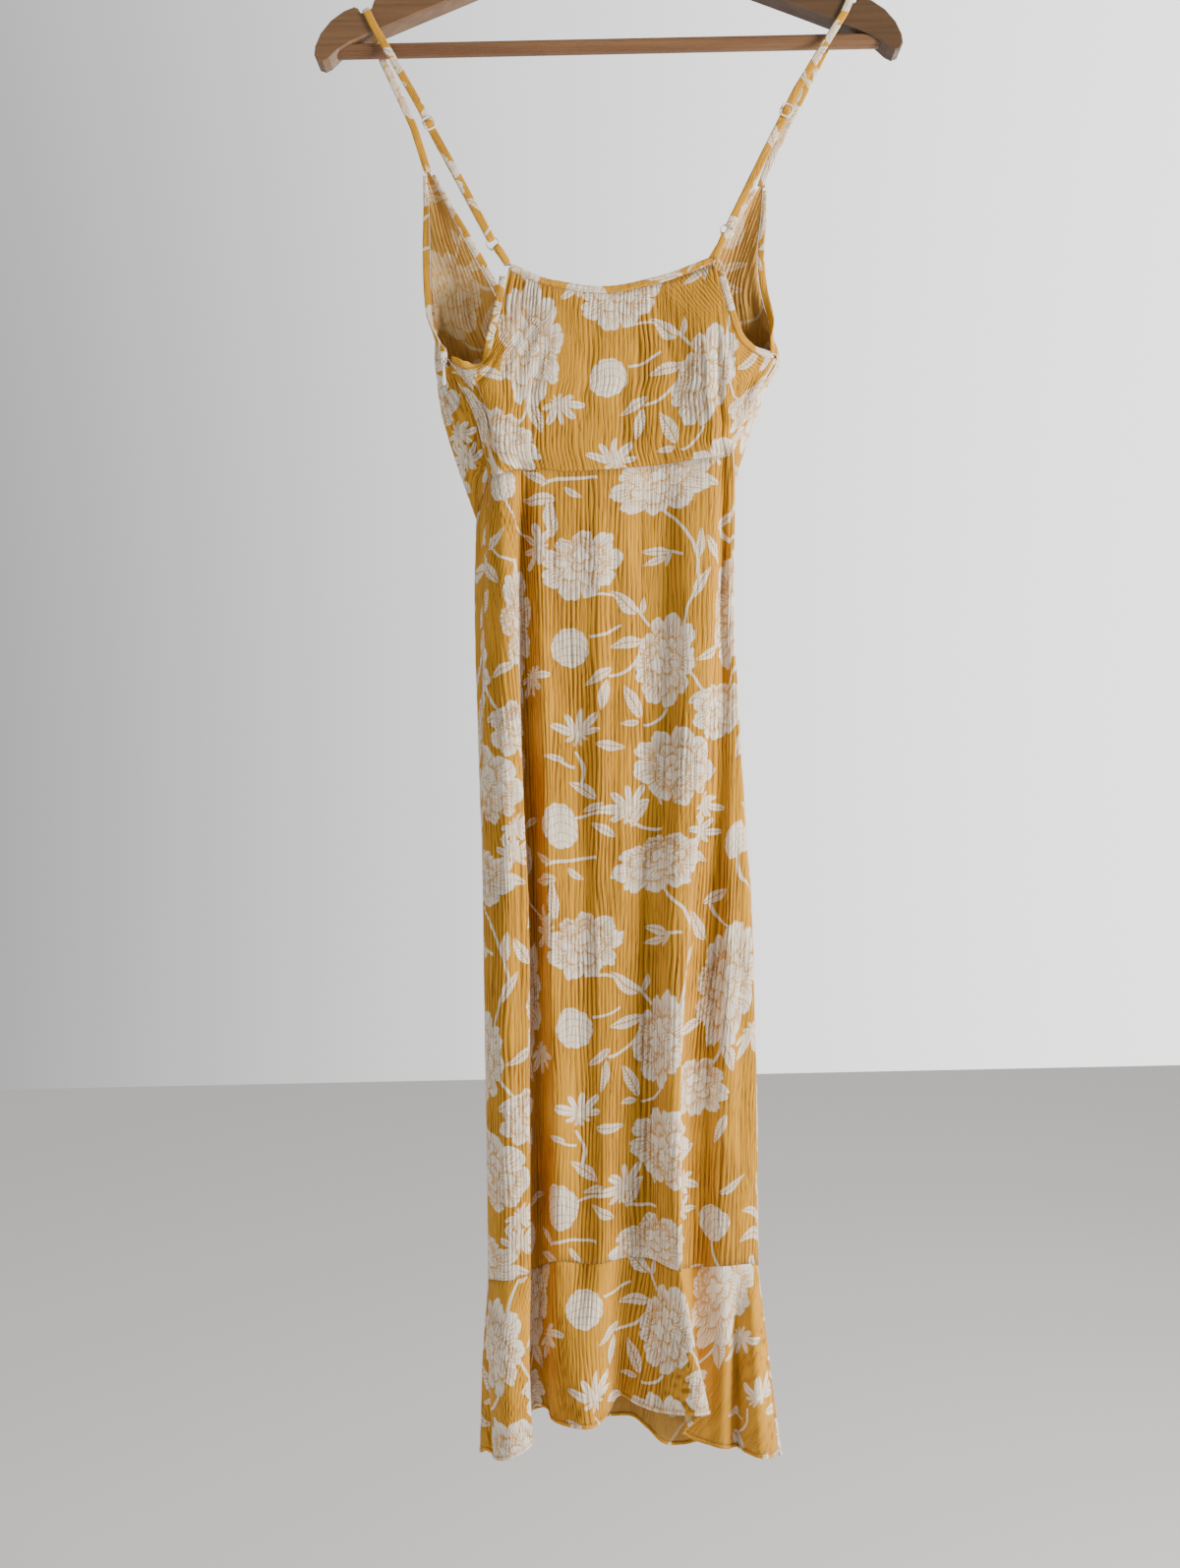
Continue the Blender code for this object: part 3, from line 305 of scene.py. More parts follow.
# The bindings
BINDING_WIDTH = 5.7
BINDING_GAP = 0.15
BINDING_STITCH = 1.1  # from a binding's inner edge
TIP_LENGTHS, TIP_WIDTHS = (0, 22, 60), (2.6, 4.4, BINDING_WIDTH)  # a front binding widens from its tip

# The straps, their rings and their sliders
STRAP_WIDTH = 6.0
STRAP_WALL = 1.8
STRAP_STAND_OFF = 2.4
RING_RADIUS = 4.7
RING_WIRE = 0.8
RING_STEPS = 40
SLIDER_SIZE = (8.4, 9.2)
SLIDER_WIRE = 0.72
DEPTH = np.array((0.0, 1.0, 0.0))  # away from someone who looks at the back
# A strap's way over the hanger's arm, as far as its top: how far inside its reach, and height above the notch
OVER_THE_ARM = ((0.0, -12.0), (0.0, -5.0), (0.0, -1.0), (1.0, 0.8), (3.0, 1.5))
# Its way through the slider: share of the slider's half height, and share of the stand-off
THROUGH_THE_SLIDER = (
    (-3.4, 0.3), (-1.6, 0.9), (-1.0, 1.0), (-0.5, 0.0), (0.0, -1.0), (0.5, 0.0), (1.0, 1.0), (1.5, 0.8),
)
# Its way round the top of the ring: distance below the ring's top, and depth
ROUND_THE_RING = (
    (-60, -2.0), (-14, -2.4), (-3, -2.4), (0, -2.3), (1.5, -1.7), (2.1, 0), (1.5, 1.7), (0, 2.3), (-3, 2.4),
    (-14, 2.4), (-60, 2.6),
)
# Its end behind the slider: share of the slider's half height, and depth
BACK_AT_THE_SLIDER = ((2.0, 5.6), (1.1, 5.4), (0.3, 4.6))
# The near half of a tab at the ring: distance below the ring's foot, and depth
UP_TO_THE_RING = ((3.0, 2.3), (1.0, 2.4), (-0.8, 2.0), (-1.8, 1.1))

# The zip
TAPE_SHIFT, COIL_SHIFT = (1.9, 0.5, 0.0), (2.65, 0.6, 0.0)  # from the left side seam
PULL_PIVOT = (-130.4, -12.2, -421.3)
PULL_EYE = (1.45, 2.0, 1.7)  # half width, half height, and how far its middle hangs below the pivot
# The pull's blade: distance below the pivot, and width there
PULL_BLADE = ((3.4, 4.4, 7.0, 13.0, 16.5, 18.6, 19.5, 19.9), (1.7, 1.5, 1.7, 2.5, 3.1, 2.9, 2.1, 1.0))

# The hanger
ARM_THICKNESS = 14.0
ARM_SLOPE = (0.911, 0.412)
NOTCH_MIDDLE = (-184.8, -151.75)
BAR_RADIUS = 5.2
BAR_END_X = 208.0
BAR_Z = -179.0
HOOK_WIRE = 1.75
HOOK_RADIUS = 20.0
HOOK_FOOT_Z = -80.0
HOOK_STEM = ((0, 0, -70), (0, 0, -60), (0, 0, -52), (1.2, 0, -47), (4.5, 0, -42.4))
HOOK_TURN = (24, 301, 6)  # degrees round the hook: first, end and step


def unit(vector: np.ndarray) -> np.ndarray:
    """Scale each vector to length 1."""
    vector = np.asarray(vector, float)
    return vector / np.maximum(np.linalg.norm(vector, axis=-1, keepdims=True), 1e-9)


def ramp(value: np.ndarray, start: float, end: float) -> np.ndarray:
    """Rise smoothly from 0 at start to 1 at end."""
    share = np.clip((value - start) / (end - start), 0, 1)
    return share * share * (3 - 2 * share)


def through(knots: Sequence[float], points: np.ndarray, at: np.ndarray) -> np.ndarray:
    """Read a smooth curve through points at given places.

    Args:
        knots: Place of each point, rising but not always even.
        points: The points, along the first axis.
        at: The places to read.

    Returns:
        The curve's points, along the first axis.
    """
    knots, points, at = np.asarray(knots, float), np.asarray(points, float), np.asarray(at, float)
    shape = (-1,) + (1,) * (points.ndim - 1)
    step = np.diff(knots).reshape(shape)
    rise = np.diff(points, axis=0) / step
    slope = np.empty_like(points)
    slope[1:-1] = (step[:-1] * rise[1:] + step[1:] * rise[:-1]) / (step[:-1] + step[1:])
    slope[0], slope[-1] = rise[0], rise[-1]
    i = np.clip(np.searchsorted(knots, at, side="right") - 1, 0, len(knots) - 2)
    h = (knots[i + 1] - knots[i]).reshape(shape)
    u = (at - knots[i]).reshape(shape) / h
    return (
        (1 + 2 * u) * (1 - u) ** 2 * points[i]
        + u * (1 - u) ** 2 * h * slope[i]
        + u**2 * (3 - 2 * u) * points[i + 1]
        - u**2 * (1 - u) * h * slope[i + 1]
    )


def round_the_ring(knots: Sequence[float], points: np.ndarray, girth: float, at: np.ndarray) -> np.ndarray:
    """Read a smooth closed ring through points, which repeat after one girth."""
    knots, points = np.asarray(knots, float), np.asarray(points, float)
    knots = np.concatenate([knots - girth, knots, knots + girth])
    return through(knots, np.concatenate([points] * 3), at)


def outward_of(edge: Path, inner: Path) -> np.ndarray:
    """Find the way out of a panel at each point of its edge, given the points just inside it."""
    along = unit(np.gradient(edge, axis=0))
    inward = inner - edge
    return -unit(inward - np.sum(inward * along, axis=1, keepdims=True) * along)


def travelled(path: Path) -> np.ndarray:
    """Measure the distance along a path at each of its points."""
    return np.concatenate([[0.0], np.cumsum(np.linalg.norm(np.diff(path, axis=0), axis=1))])


def resampled(path: Path, step: float) -> Path:
    """Lay points evenly along a smooth curve through a path."""
    far = travelled(path)
    return through(far, path, np.linspace(0, far[-1], max(4, int(far[-1] / step) + 1)))


class Layout:
    """Places round the dress, and the middle surface of each panel, on fine columns and rows."""

    def __init__(self) -> None:
        """Measure the ring at knee height, which numbers the places round the dress."""
        knee = np.array([row[4] for row in SKIRT_FOLDS], float)
        lengths = np.linalg.norm(np.roll(knee, -1, axis=0) - knee, axis=1)
        self.at_fold = np.concatenate([[0.0], np.cumsum(lengths)])
        self.girth = self.at_fold[-1]

    def along(self, place: float | Sequence[float]) -> np.ndarray:
        """Turn a fold number, and a share of the way to the next, into a distance round the ring."""
        return np.interp(place, np.arange(LEFT_SEAM + 1), self.at_fold)

    def columns(self, start: float, end: float) -> np.ndarray:
        """Lay columns between two places, a fixed step apart."""
        first, last = float(self.along(start)), float(self.along(end))
        return np.linspace(first, last, int((last - first) / COLUMN_STEP) + 1)

    def places(self, at: np.ndarray) -> np.ndarray:
        """Turn distances round the ring back into fold numbers."""
        return np.interp(at, self.at_fold, np.arange(LEFT_SEAM + 1))

    def skirt_level(self, level: int, at: np.ndarray) -> Path:
        """Read the skirt's ring at one of its six levels."""
        points = [row[1 + level] for row in SKIRT_FOLDS]
        return round_the_ring(self.at_fold[:-1], points, self.girth, at)

    def skirt(self, at: np.ndarray) -> Grid:
        """Loft the skirt on the given columns."""
        levels = np.stack([self.skirt_level(k, at) for k in range(6)])
        heights = -levels[:, :, 2].mean(axis=1)
        return through(heights, levels, np.linspace(heights[0], heights[-1], int(SKIRT_LENGTH / ROW_STEP)))

    def flounce(self, at: np.ndarray) -> Grid:
        """Loft the hem flounce on the given columns."""
        places = self.along([row[1] for row in FLOUNCE_FOLDS])
        levels = [self.skirt_level(5, at)]
        for column in (2, 3):
            points = [row[column] for row in FLOUNCE_FOLDS]
            levels.append(round_the_ring(places, points, self.girth, at))
        return through((0.0, FLOUNCE_MIDDLE, 1.0), np.stack(levels), np.linspace(0, 1, FLOUNCE_ROWS))

    def bodice(
        self, back_at: np.ndarray, left_at: np.ndarray, right_at: np.ndarray
    ) -> tuple[Grid, Grid, Grid]:
        """Loft the back and the two fronts, which share one curve per row from the underarm down.

        Args:
            back_at: Columns of the back.
            left_at: Columns of the left front.
            right_at: Columns of the right front.

        Returns:
            The three grids.
        """
        back, left, right = [], [], []
        for k, (back_row, left_row, right_row) in enumerate(zip(BACK_BODICE, LEFT_FRONT, RIGHT_FRONT)):
            b, f, g = (np.array(row[1:], float) for row in (back_row, left_row, right_row))
            f = f[::-1]
            b_at, f_at, g_at = self.along(b[:, 0]), self.along(f[:, 0]), self.along(g[:, 0])
            if k < UNDERARM:
                back.append(through(b_at, b[:, 1:], back_at))
                left.append(through(f_at, f[:, 1:], left_at))
                right.append(through(g_at, g[:, 1:], right_at))
                continue
            knots = np.concatenate([f_at - self.girth, b_at[1:], g_at[1:]])
            points = np.concatenate([f[:, 1:], b[1:, 1:], g[1:, 1:]])
            back.append(through(knots, points, back_at))
            left.append(through(knots, points, left_at - self.girth))
            right.append(through(knots, points, right_at))
        for rows, at in ((back, back_at), (left, left_at), (right, right_at)):
            rows.append(self.skirt_level(0, at))
        left, right = np.stack(left), np.stack(right)
        left[:, :, 1] -= FRONT_LAYER_SHIFT * ramp(left[:, :, 0], *SHIFT_X)
        right[:, :, 1] += FRONT_LAYER_SHIFT * ramp(-right[:, :, 0], *SHIFT_X)
        return tuple(self.more_rows(grid) for grid in (np.stack(back), left, right))

    @staticmethod
    def more_rows(grid: Grid) -> Grid:
        """Add smooth rows between the bodice's own, a fixed step apart at the middle column."""
        far = travelled(grid[:, grid.shape[1] // 2])
        return through(far, grid, np.linspace(0, far[-1], int(far[-1] / BODICE_ROW_STEP) + 1))


class Noise:
    """Repeatable smooth noise over two lengths, from a fixed lattice of random values."""

    def __init__(self, seed: int) -> None:
        """Draw the lattice."""
        self.lattice = np.random.default_rng(seed).uniform(-1, 1, (256, 256))

    def __call__(self, x: np.ndarray, y: np.ndarray) -> np.ndarray:
        """Read the noise, which has one cell per unit each way."""
        i, j = np.floor(x).astype(int), np.floor(y).astype(int)
        u, v = x - i, y - j
        u, v = u * u * (3 - 2 * u), v * v * (3 - 2 * v)
        a, b = self.lattice[i & 255, j & 255], self.lattice[(i + 1) & 255, j & 255]
        c, d = self.lattice[i & 255, (j + 1) & 255], self.lattice[(i + 1) & 255, (j + 1) & 255]
        return (a * (1 - u) + b * u) * (1 - v) + (c * (1 - u) + d * u) * v


@dataclass(frozen=True)
class Crinkle:
    """The cloth's own crinkle: wandering ridges along the panel's length, parted by narrow grooves."""

    pitch: float = 3.2
    wander: float = 0.6
    height: float = 1.15
    unevenness: float = 0.16
    seed: int = 11

    def heights(self, across: np.ndarray, down: np.ndarray) -> tuple[np.ndarray, np.ndarray]:
        """Give the height off the middle surface.

        Args:
            across: Distance across the panel.
            down: Distance down the panel.

        Returns:
            Heights, about zero on average, and how far into a groove each point lies, from 0 to 1, which the
            cloth's material uses for painted shade.
        """
        noise, other = Noise(self.seed), Noise(self.seed + 1)
        phase = across / self.pitch + self.wander * noise(across / 9, down / 60)
        phase = phase + 0.26 * other(across / 3.1 + 20, down / 22)
        ridge = np.abs(np.sin(math.pi * phase)) ** 0.75
        patch = np.clip(0.78 + 0.42 * noise(across / 13 + 40, down / 55 + 7), 0.3, 1.25)
        bumps = self.unevenness * other(across / 1.7 + 9, down / 8)
        return self.height * (ridge - 0.62) * patch + bumps, (1.05 - ridge) * patch


def lengths_along(grid: Grid, axis: int) -> np.ndarray:
    """Measure how far each point lies from the first one along a grid's axis."""
    steps = np.cumsum(np.linalg.norm(np.diff(grid, axis=axis), axis=2), axis=axis)
    return np.pad(steps, ((1, 0), (0, 0)) if axis == 0 else ((0, 0), (1, 0)))


def two_layers(rows: int, columns: int) -> list[tuple[int, ...]]:
    """List the faces of a shell of two layers of points, closed round its rim.

    Args:
        rows: Rows of points in a layer.
        columns: Columns of points in a layer.

    Returns:
        The faces.
    """
    count, last = rows * columns, (rows - 1) * columns
    faces: list[tuple[int, ...]] = []
    for row in range(0, last, columns):
        for a in range(row, row + columns - 1):
            b, c, d = a + 1, a + columns + 1, a + columns
            faces += [(a, b, c, d), (a + count, d + count, c + count, b + count)]
    rim = [
        *range(columns), *range(2 * columns - 1, count, columns), *range(count - 2, last - 1, -1),
        *range(last - columns, 0, -columns),
    ]
    return faces + [(b, a, a + count, b + count) for a, b in zip(rim, rim[1:] + rim[:1])]


@dataclass(frozen=True)
class Crease:
    """One soft trough, or a ridge where its depth is negative, down a panel."""

    place: float
    start: float
    end: float
    width: float
    depth: float
    lean: float = 0.0


def new_mesh_object(name: str, points: np.ndarray, faces: list[tuple[int, ...]]) -> bpy.types.Object:
    """Make an object from points in millimetres, in the scene's collection."""
    mesh = bpy.data.meshes.new(name)
    mesh.from_pydata((np.asarray(points, float).reshape(-1, 3) * MM).tolist(), [], faces)
    mesh.update()
    obj = bpy.data.objects.new(name, mesh)
    bpy.context.scene.collection.objects.link(obj)
    return obj


def turned_out(points: np.ndarray, faces: list[tuple[int, ...]]) -> list[tuple[int, ...]]:
    """Turn a closed shell's faces round if they point inwards."""
    points = np.asarray(points, float).reshape(-1, 3)
    middle = points.mean(axis=0)
    volume = 0.0
    for face in faces:
        corners = points[list(face)] - middle
        for k in range(1, len(face) - 1):
            volume += float(np.dot(corners[0], np.cross(corners[k], corners[k + 1])))
    return [face[::-1] for face in faces] if volume < 0 else faces


def write_uv(mesh: bpy.types.Mesh, coordinates: np.ndarray) -> None:
    """Write one UV pair, in metres, to each corner from its vertex."""
    layer = mesh.uv_layers.new(name="UVMap")
    index = np.empty(len(mesh.loops), np.int32)
    mesh.loops.foreach_get("vertex_index", index)
    layer.data.foreach_set("uv", (coordinates[index] * MM).astype(np.float32).ravel())


def write_values(mesh: bpy.types.Mesh, name: str, values: np.ndarray) -> None:
    """Write one number to each vertex, for the cloth's material."""
    layer = mesh.attributes.new(name, "FLOAT", "POINT")
    layer.data.foreach_set("value", np.asarray(values, np.float32).ravel())


@dataclass
class Panel:
    """A panel of the dress: a thin closed shell with its crinkle, creases and the place of its print."""

    name: str
    grid: Grid
    places: np.ndarray
    anchor: float
    print_offset: tuple[float, float] = (0.0, 0.0)
    lean: Callable[[np.ndarray], np.ndarray] | None = None
    strength: Callable[[np.ndarray], np.ndarray] | None = None
    creases: Sequence[Crease] = ()
    crinkle: Crinkle = field(default_factory=Crinkle)

    def flat_coordinates(self) -> tuple[np.ndarray, np.ndarray]:
        """Measure each point's distance across, from the anchor column, and down, from the top row."""
        across, down = (lengths_along(self.grid, axis) for axis in (1, 0))
        column = int(np.argmin(np.abs(self.places - self.anchor)))
        across -= across[:, column : column + 1]
        return across, down

    def drawn_in(self) -> Grid:
        """Move the four edges in, so that panels sewn together don't touch."""
        moved = self.grid.copy()
        edges = (
            (np.s_[:, 0], np.s_[:, 1]), (np.s_[:, -1], np.s_[:, -2]),
            (np.s_[0], np.s_[1]), (np.s_[-1], np.s_[-2]),
        )
        for edge, inner in edges:
            moved[edge] -= outward_of(self.grid[edge], self.grid[inner]) * SEAM_GAP
        return moved

    def build(self) -> bpy.types.Object:
        """Make the shell.

        Returns:
            The panel's object, with its UV map in metres.
        """
        grid = self.drawn_in()
        rows, columns = grid.shape[:2]
        normal = unit(np.cross(np.gradient(grid, axis=0), np.gradient(grid, axis=1)))
        across, down = self.flat_coordinates()
        lean = self.lean(self.places)[None, :] if self.lean else 0.0
        height, groove = self.crinkle.heights(across + lean * down, down)
        if self.strength:
            height, groove = (value * self.strength(self.places)[None, :] for value in (height, groove))
        for crease in self.creases:
            height -= self.crease_depth(crease, across, down)
        column = ramp(np.arange(columns, dtype=float), -0.5, 3)[None, :] + 0 * down
        rim = np.minimum.reduce(
            [column, column[:, ::-1], ramp(down, -0.5, 5), ramp(down[-1:] - down, -0.5, 5)]
        )
        middle = grid + normal * (height * rim)[..., None]
        layers = np.stack([middle + normal * WALL / 2, middle - normal * WALL / 2])
        points = layers.reshape(-1, 3)
        obj = new_mesh_object(self.name, points, turned_out(points, two_layers(rows, columns)))
        shift = np.array(self.print_offset)
        flat = np.stack([across, -down], axis=2).reshape(-1, 2) + shift
        write_uv(obj.data, np.concatenate([flat, flat]))
        # Groove values for the painted shade: full strength on the first layer, half on the second.
        write_values(obj.data, GROOVE_SHADE, np.concatenate([groove.ravel(), 0.5 * groove.ravel()]))
        outside = self.outside_first(middle, normal)
        write_values(obj.data, REVERSE, np.repeat((0.0, 1.0) if outside else (1.0, 0.0), rows * columns))
        obj.data.shade_smooth()
        return obj

    def outside_first(self, middle: Grid, normal: Grid) -> bool:
        """Tell whether the shell's first layer is the one away from the body."""
        away = -1.0 if "back" in self.name else 1.0
        return float(np.sum(normal[..., 1]) * away) > 0

    def crease_depth(self, crease: Crease, across: np.ndarray, down: np.ndarray) -> np.ndarray:
        """Give one crease's depth at each point, soft at its sides and fading at its ends."""
        column = int(np.argmin(np.abs(self.places - crease.place)))
        off = across - across[:, column : column + 1] - crease.lean * (down - crease.start)
        begun = ramp(down, crease.start - 25, crease.start + 25)
        ended = ramp(down, crease.end - 35, crease.end + 35)
        return crease.depth * np.exp(-((off / crease.width) ** 2)) * (begun * (1 - ended))

    def cut(self) -> tuple[tuple[float, float], float]:
        """Work out the flat piece: its (width, length) and its area, in metres and square metres."""
        across, down = self.flat_coordinates()
        width, length = np.ptp(across) * MM, down.max() * MM
        cells = np.diff(across[:-1], axis=1) * np.diff(down[:, :-1], axis=0)
        area = min(float(cells.sum()) * MM * MM, width * length)
        return (float(width), float(length)), area


Socket = bpy.types.NodeSocket
Number = Union[Socket, float]
Colour = tuple[float, float, float]


class Weave:
    """Short ways to add shader nodes to one node tree."""

    def __init__(self, tree: bpy.types.NodeTree) -> None:
        """Work on the given tree."""
        self.tree = tree

    def node(self, kind: str, **settings: object) -> bpy.types.Node:
        """Add a node and set its properties."""
        node = self.tree.nodes.new(kind)
        for name, value in settings.items():
            setattr(node, name, value)
        return node

    def feed(self, socket: Socket, value: Socket | float | Sequence[float]) -> None:
        """Link a socket to an input, or set the input's value."""
        if isinstance(value, bpy.types.NodeSocket):
            self.tree.links.new(value, socket)
        else:
            socket.default_value = value

    def math(self, operation: str, *values: Number) -> Socket:
        """Add a Math node."""
        node = self.node("ShaderNodeMath", operation=operation)
        for socket, value in zip(node.inputs, values):
            self.feed(socket, value)
        return node.outputs[0]

    def plus(self, a: Number, b: Number) -> Socket:
        """Add two numbers."""
        return self.math("ADD", a, b)

    def less(self, a: Number, b: Number) -> Socket:
        """Take b from a."""
        return self.math("SUBTRACT", a, b)

    def times(self, a: Number, b: Number) -> Socket:
        """Multiply two numbers."""
        return self.math("MULTIPLY", a, b)

    def scaled(self, a: Number, by: Number, plus: Number) -> Socket:
        """Multiply a number and then add one."""
        return self.math("MULTIPLY_ADD", a, by, plus)

    def power(self, a: Number, exponent: Number) -> Socket:
        """Raise a number to a power."""
        return self.math("POWER", a, exponent)

    def size(self, a: Number) -> Socket:
        """Drop a number's sign."""
        return self.math("ABSOLUTE", a)

    def sine(self, a: Number) -> Socket:
        """Give the sine of an angle in radians."""
        return self.math("SINE", a)

    def larger(self, a: Number, b: Number) -> Socket:
        """Give the larger of two numbers."""
        return self.math("MAXIMUM", a, b)

    def vector(self, operation: str, *values: Socket | Sequence[float]) -> bpy.types.Node:
        """Add a Vector Math node."""
        node = self.node("ShaderNodeVectorMath", operation=operation)
        for socket, value in zip(node.inputs, values):
            self.feed(socket, value)
        return node

    def split(self, value: Socket) -> tuple[Socket, Socket]:
        """Give a vector's X and Y."""
        node = self.node("ShaderNodeSeparateXYZ")
        self.feed(node.inputs[0], value)
        return node.outputs[0], node.outputs[1]

    def join(self, x: Number, y: Number, z: Number = 0.0) -> Socket:
        """Make a vector."""
        node = self.node("ShaderNodeCombineXYZ")
        for socket, value in zip(node.inputs, (x, y, z)):
            self.feed(socket, value)
        return node.outputs[0]

    def step(self, value: Socket, start: Number, end: Number) -> Socket:
        """Rise smoothly from 0 at start to 1 at end, which may lie the other way round."""
        node = self.node("ShaderNodeMapRange", interpolation_type="SMOOTHSTEP")
        self.feed(node.inputs[0], value)
        self.feed(node.inputs[1], start)
        self.feed(node.inputs[2], end)
        return node.outputs[0]

    def mix(self, share: Number, a: Socket | Colour, b: Socket | Colour) -> Socket:
        """Mix two opaque colours."""
        node = self.node("ShaderNodeMix", data_type="RGBA")
        self.feed(node.inputs[0], share)
        for socket, colour in ((node.inputs[6], a), (node.inputs[7], b)):
            self.feed(socket, colour if isinstance(colour, Socket) else (*colour, 1))
        return node.outputs[2]

    def choose(self, share: Socket, a: Socket, b: Socket) -> Socket:
        """Mix two vectors."""
        node = self.node("ShaderNodeMix", data_type="VECTOR")
        self.feed(node.inputs[0], share)
        self.feed(node.inputs[4], a)
        self.feed(node.inputs[5], b)
        return node.outputs[1]

    def noise(self, at: Socket, scale: float, detail: float = 2.0, dimensions: str = "2D") -> bpy.types.Node:
        """Add a noise texture."""
        node = self.node("ShaderNodeTexNoise", noise_dimensions=dimensions)
        self.feed(node.inputs["Vector"], at)
        node.inputs["Scale"].default_value = scale
        node.inputs["Detail"].default_value = detail
        return node


# One repeat of the print, in millimetres from its own middle.
# Blooms: x, y, turn in degrees, half width, half height
BLOOMS = (
    (5, 1, -12, 30, 27),
    (66, 57, 8, 37, 25),
    (70, -76, 96, 37, 24),
    (79, -158, 140, 40, 27),
    (-64, -44, 82, 45, 27),
    (-82, -122, 25, 26, 24),
)
# Spiky flowers: x, y, turn, half size
SPRAYS = (
    (1, -126, 4, 21),
    (-26, 12, 70, 20),
    (-40, -84, -150, 19),
    (40, -186, 30, 22),
    (106, 96, 200, 18),
    (-96, 74, -20, 20),
)
# Buds: x, y, turn, half width, half height
BUDS = (
    (-4, -61, 0, 14.5, 15.5),
    (-62, 64, 30, 12.5, 14),
    (-14, -196, 10, 15, 18),
)
# Leaves: x and y of the middle, turn of the tip, half length
LEAVES = (
    (62, 7, 168, 11), (61, -1, 190, 10), (37, -30, 137, 15.5), (53, -33, 80, 8),
    (39, -60, 187, 14), (16, -84, 210, 12), (21, -98, 258, 12.5), (43, -105, 118, 15.5),
    (41, -121, 180, 8), (26, -137, -8, 13), (-18, -145, 172, 8.5), (5, -168, 148, 13.5),
    (12, -182, 195, 9.5), (-31, 66, 160, 11), (-29, 50, 186, 14), (-19, 36, 95, 16),
    (-1, 56, -40, 8), (96, 8, 84, 12), (104, 56, -28, 11), (72, 0, 250, 7),
    (-92, 2, 120, 14), (-78, 24, 35, 12), (-58, -96, -60, 14), (-94, -76, 200, 12),
    (98, -22, 60, 12), (100, -108, 20, 13), (48, 98, 60, 13), (20, 88, 150, 12),
    (-48, 92, 20, 11), (-60, -152, 250, 13), (-90, -172, 215, 11),
)
# Stems: start, end, and how far the middle bows to the left of the way there, as a share of its length
STEMS = (
    (55, 46, 97, -20, 0.14), (6, -22, 57, -50, 0.17), (11, -53, 34, -47, -0.05), (50, -68, 24, -84, 0.16),
    (-2, -138, 2, -166, 0.14), (-2, -150, -16, -145, 0.1), (16, 67, -26, 60, -0.08),
     (97, -20, 104, -110, -0.18),
    (86, -134, 64, -186, -0.2), (-64, -88, -88, -110, 0.2), (-60, 2, -84, 22, 0.2),
     (-10, -196, 40, -190, 0.12),
    (70, -112, 52, -124, 0.15), (-62, 52, -34, 20, -0.2), (66, 84, 36, 98, 0.15), (84, 2, 64, 4, -0.1),
)


# A bloom's inner petals: lobes, reach, depth, and how they sit off its middle
INNER_PETALS = (
    (7, 0.66, 0.24, (0.06, -0.10)), (6, 0.45, 0.19, (-0.05, -0.20)), (4, 0.24, 0.13, (0.04, -0.27)),
)

Place = tuple[float, float]
Motif = tuple[Place, float, Place]  # middle, turn and half size


